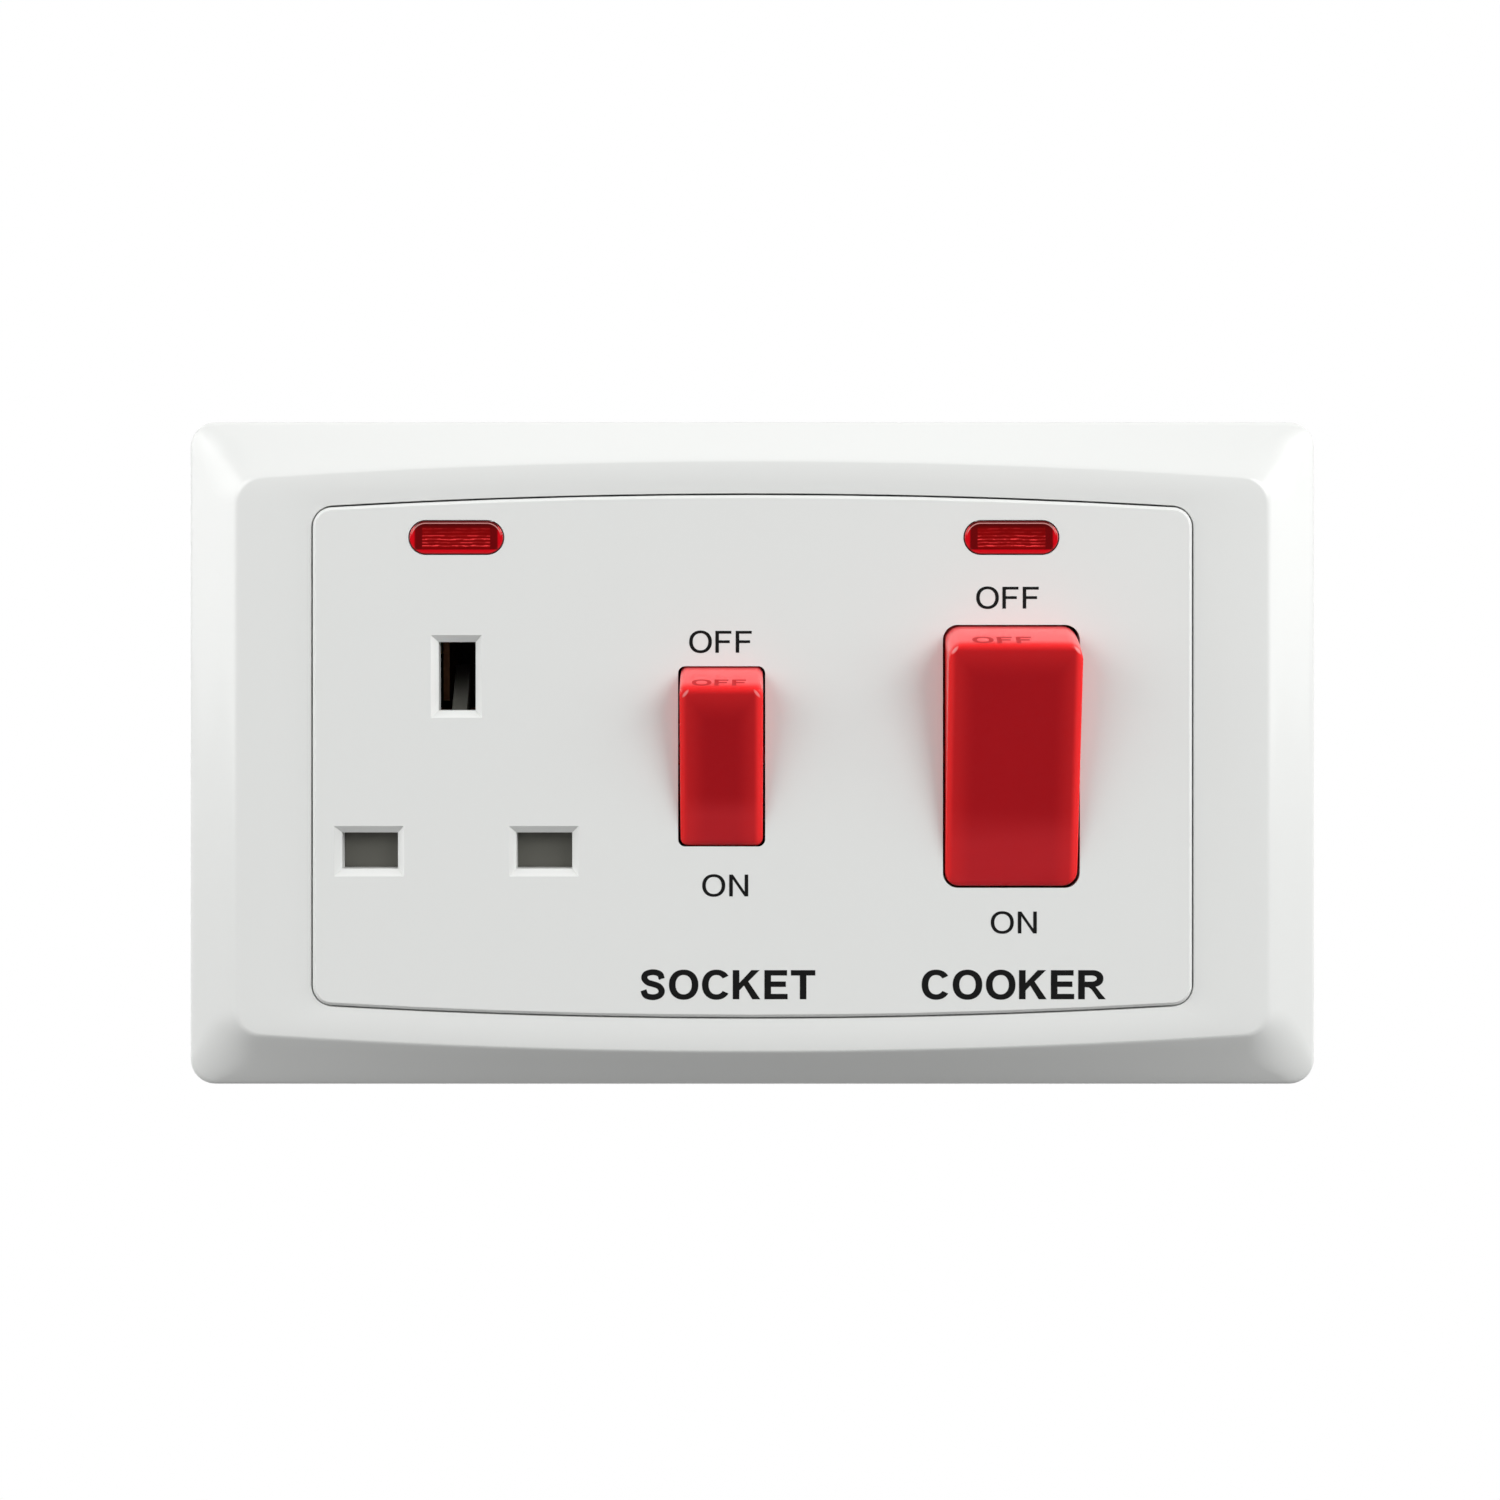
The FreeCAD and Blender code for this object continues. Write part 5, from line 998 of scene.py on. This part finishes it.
# Words, their middle across and up, their width, and whether they are bold
LETTERING = [
    ("OFF", -4.05, 14.55, 7.95, False), ("ON", -3.45, -16.4, 5.85, False),
    ("OFF", 32.4, 20.15, 7.95, False), ("ON", 33.2, -21.1, 5.85, False),
    ("SOCKET", -3.1, -29.0, 22.2, True), ("COOKER", 33.2, -29.0, 23.4, True),
]


class CookerLetters(bpy.types.Operator):
    """ON, OFF, SOCKET and COOKER printed on the panel"""
    bl_idname = "cooker.letters"
    bl_label = "Lettering"

    def execute(self, context):
        lettering = context.scene.cooker_lettering
        meshes = []
        for words, x, z, width, bold in LETTERING:
            height = lettering.word_height if bold else lettering.cap_height
            stem = lettering.bold_weight if bold else lettering.weight
            bar = stem * 0.86
            mesh = text_mesh(words, height, width * MM, stem, bar, lettering.thick)
            mesh.transform(Matrix.Translation((x * MM, PANEL_FRONT, z * MM)))
            meshes.append(mesh)
        add_piece("panel_lettering", merge_meshes("panel_lettering", meshes),
                  plate_ink(chosen()), "unit", "dark_moulding")
        return {"FINISHED"}


class CookerLenses(bpy.types.Operator):
    """The two red pilot lenses, domed a little at their edges"""
    bl_idname = "cooker.lenses"
    bl_label = "Pilot lenses"

    def execute(self, context):
        half_x, half_z = LENS_HALF
        for which, x in (("socket", SOCKET_X), ("cooker", COOKER_X)):
            low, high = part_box(f"{which}_lens")
            front, back = low.y / MM, high.y / MM
            brim, inset = (half_x + 1.08, half_z, 0.5, 0), 1.4
            profile = [
                (*brim, back, 0),
                (*brim, back - 0.8, 0),
                (half_x, half_z, half_z, 0, back - 0.8, 0),
                (half_x, half_z, half_z, 0, front, 0.35),
                (half_x - inset, half_z - inset, half_z - inset, 0, front, 0),
            ]
            mesh = loft_mesh(f"{which}_lens", in_metres(ease_profile(profile, 6)),
                             centre=(x * MM, LENS_Z * MM), capped=True, corner_steps=12, spans=6)
            add_piece(f"{which}_pilot_lens", smooth(mesh, 32), lens_plastic(chosen(), which, x),
                      "unit", "red_lens", f"{which}_lens")
        return {"FINISHED"}


def coil_pattern(values):
    """A helical spring that stands on its foot, turned about the X axis."""
    pattern = Pattern("coil_spring", values)
    given = pattern.given
    path = pattern.node("GeometryNodeCurveSpiral", inputs={
        "Resolution": 24, "Rotations": given["Turns"], "Start Radius": given["Coil radius"],
        "End Radius": given["Coil radius"], "Height": given["Length"], "Reverse": False})
    ring = pattern.node("GeometryNodeCurvePrimitiveCircle", inputs={
        "Resolution": 10, "Radius": given["Wire radius"]})
    coil = pattern.node("GeometryNodeCurveToMesh", inputs={
        "Curve": path.outputs[0], "Profile Curve": ring.outputs[0], "Fill Caps": True})
    placed = pattern.node("GeometryNodeTransform", inputs={
        "Geometry": coil.outputs[0], "Translation": given["Foot"],
        "Rotation": given["Rotation"]})
    pattern.finish(placed.outputs[0])
    return pattern


class CookerCoils(bpy.types.Operator):
    """The shutter's spring and the springs behind the rockers' plungers"""
    bl_idname = "cooker.coils"
    bl_label = "Springs"

    def execute(self, context):
        springs = context.scene.cooker_springs
        steel = metal("spring_steel")
        low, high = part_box("shutter_spring")
        foot = Vector(((low.x + high.x) / 2, (low.y + high.y) / 2, low.z))
        self.add_coil(steel, "shutter", "unit", "shutter_slide", foot, Vector((0, 0, 1)),
                      high.z - low.z, (high.x - low.x) / 2, springs.shutter_turns)
        for which, rocker in ROCKERS.items():
            tilt = math.radians(rocker["tilt"])
            way = Vector((0, math.cos(tilt), math.sin(tilt)))
            for pole, x in rocker["stems"].items():
                pivot = Vector(((rocker["x"] + x) * MM, PIVOT_Y * MM, 0))
                self.add_coil(steel, f"{pole}_plunger", f"{which}_rocker", f"{pole}_plunger_slide",
                              pivot + way * COIL_FOOT * MM, way, COIL_LENGTH * MM,
                              COIL_RADIUS * MM, springs.plunger_turns)
        return {"FINISHED"}

    def add_coil(self, steel, name, body, joint, foot, way, length, radius, turns):
        """A coil that stands on foot along way. The joint is not used."""
        wire = bpy.context.scene.cooker_springs.wire / 2
        pattern = coil_pattern({
            "Material": steel.material, "Turns": float(turns), "Coil radius": radius - wire,
            "Length": length - 2 * wire, "Wire radius": wire, "Foot": tuple(foot + way * wire),
            "Rotation": (-math.atan2(way.y, way.z), 0.0, 0.0)})
        piece = pattern.mesh_object(f"{name}_coil")
        smooth(piece.data, 60)
        seat(piece, body, "steel", f"{name}_spring")
        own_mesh(piece)


class CookerFittings(bpy.types.Operator):
    """Brass contacts and terminals, bronze clips, steel screws, nylon plungers and glass lamps"""
    bl_idname = "cooker.fittings"
    bl_label = "Fittings"

    def execute(self, context):
        finishes = {
            ("_bar", "_bracket", "_contact", "_terminal"): metal("brass_strip"),
            "_clip": metal("clip_bronze"),
            "_screws": metal("screw_steel"),
            "_plunger": nylon(),
            "_neon": lamp_glass(),
        }
        for name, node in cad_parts.items():
            for endings, finish in finishes.items():
                if name.endswith(endings):
                    give(node, finish)
        return {"FINISHED"}


# Each lamp's place and diameter, in metres
LAMPS = {
    "top_lamp": ((0, -0.5, 1.0), 0.9),
    "left_lamp": ((-1.0, -0.25, 0.3), 0.9),
    "right_lamp": ((1.0, -0.25, 0.3), 0.9),
    "left_fill": ((-0.8, -0.8, 0.55), 0.7),
    "right_fill": ((0.8, -0.8, 0.55), 0.7),
}


class CookerStage(bpy.types.Operator):
    """Pale floor, soft lamps and the camera"""
    bl_idname = "cooker.stage"
    bl_label = "Stage"

    def execute(self, context):
        studio = context.scene.cooker_studio
        self.add_camera(context, studio)
        self.add_floor(studio)
        self.add_world(context, studio)
        for name, (place, size) in LAMPS.items():
            self.add_lamp(name, place, size, getattr(studio, name))
        context.scene.view_settings.view_transform = "Standard"
        return {"FINISHED"}

    def add_camera(self, context, studio):
        data = bpy.data.cameras.new("camera")
        data.sensor_width = 36
        data.lens = studio.lens
        data.shift_y = studio.shift
        data.clip_start = 0.01
        camera = new_object("camera", data)
        camera.location = (studio.sideways, -studio.distance, studio.height)
        camera.rotation_euler = (math.radians(90), 0, 0)
        context.scene.camera = camera

    def add_floor(self, studio):
        """Pale paper that takes a shadow near the object and runs out to white."""
        half, thick = 3, 0.01
        floor = new_object("floor", box_mesh((-half, -half, studio.floor - thick),
                                             (half, half, studio.floor)))
        made = Finish("floor_paper", roughness=0.9)
        path = made.node("ShaderNodeLightPath")
        seen = Reading(made, path.outputs["Is Camera Ray"])
        x, y, _ = made.place()
        gloss = Reading(made, path.outputs["Is Glossy Ray"]) + path.outputs["Is Transmission Ray"]
        shown = (seen + gloss * y.above(0.15, 0.3)).at_most(1.0)
        paper = made.clouds(0.3, 2, (0.86, 0.86, 0.86), (0.9, 0.9, 0.9))
        made.set("Base Color", made.mix(seen, (0.2, 0.2, 0.2), paper))
        far = (x * x + y * y).root().above(0.3, 0.3)
        glow = made.node("ShaderNodeEmission", inputs={"Color": (1, 1, 1), "Strength": 1.0})
        blend = made.node("ShaderNodeMixShader", inputs={
            0: shown * (0.8 + far * 0.2), 1: made.shader.outputs[0], 2: glow.outputs[0]})
        made.tree.links.new(blend.outputs[0], made.output.inputs["Surface"])
        give(floor, made)

    def add_world(self, context, studio):
        """White behind the object to the camera and in gloss, which sees a dim room in front."""
        world = bpy.data.worlds.new("studio")
        context.scene.world = world
        world.use_nodes = True
        room = NodeMaker()
        room.tree = world.node_tree
        room.tree.nodes.clear()
        path = room.node("ShaderNodeLightPath")
        way = room.node("ShaderNodeSeparateXYZ", inputs={
            "Vector": room.node("ShaderNodeTexCoord").outputs["Generated"]})
        backdrop = Reading(room, way.outputs["Y"]).above(0.0, 0.5)
        gloss = Reading(room, path.outputs["Is Glossy Ray"]).at_least(
            path.outputs["Is Transmission Ray"])
        seen = (gloss * (0.03 + backdrop * 0.97)).at_least(path.outputs["Is Camera Ray"])
        strength = seen + (1 - seen).at_most(1 - gloss) * studio.ambient
        light = room.node("ShaderNodeBackground", inputs={
            "Color": (1, 1, 1), "Strength": strength})
        room.node("ShaderNodeOutputWorld", inputs={"Surface": light.outputs[0]})

    def add_lamp(self, name, place, size, power):
        data = bpy.data.lights.new(name, "AREA")
        data.shape = "DISK"
        data.size = size
        data.energy = power
        lamp = new_object(name, data)
        lamp.location = place
        lamp.rotation_euler = (-Vector(place)).to_track_quat("-Z", "Y").to_euler()


OPERATORS = [CookerSurround, CookerMouldings, CookerRockers, CookerLetters, CookerLenses,
             CookerCoils, CookerFittings, CookerStage]


class CookerPanel(bpy.types.Panel):
    """Sizes, colours and the steps that make the pieces"""
    bl_idname = "VIEW3D_PT_cooker"
    bl_label = "Cooker control unit"
    bl_space_type = "VIEW_3D"
    bl_region_type = "UI"
    bl_category = "Cooker unit"

    def draw(self, context):
        for name, group in GROUPS.items():
            column = self.layout.box().column()
            for field in group.__annotations__:
                column.prop(getattr(context.scene, name), field)
        for operator in OPERATORS:
            self.layout.operator(operator.bl_idname)


CLASSES = [*GROUPS.values(), *OPERATORS, CookerPanel]


def register():
    for item in CLASSES:
        bpy.utils.register_class(item)
    for name, group in GROUPS.items():
        setattr(bpy.types.Scene, name, PointerProperty(type=group))


def unregister():
    for name in GROUPS:
        delattr(bpy.types.Scene, name)
    for item in reversed(CLASSES):
        bpy.utils.unregister_class(item)


def main():
    register()
    for operator in OPERATORS:
        group, name = operator.bl_idname.split(".")
        getattr(getattr(bpy.ops, group), name)()


if __name__ == "__main__":
    main()
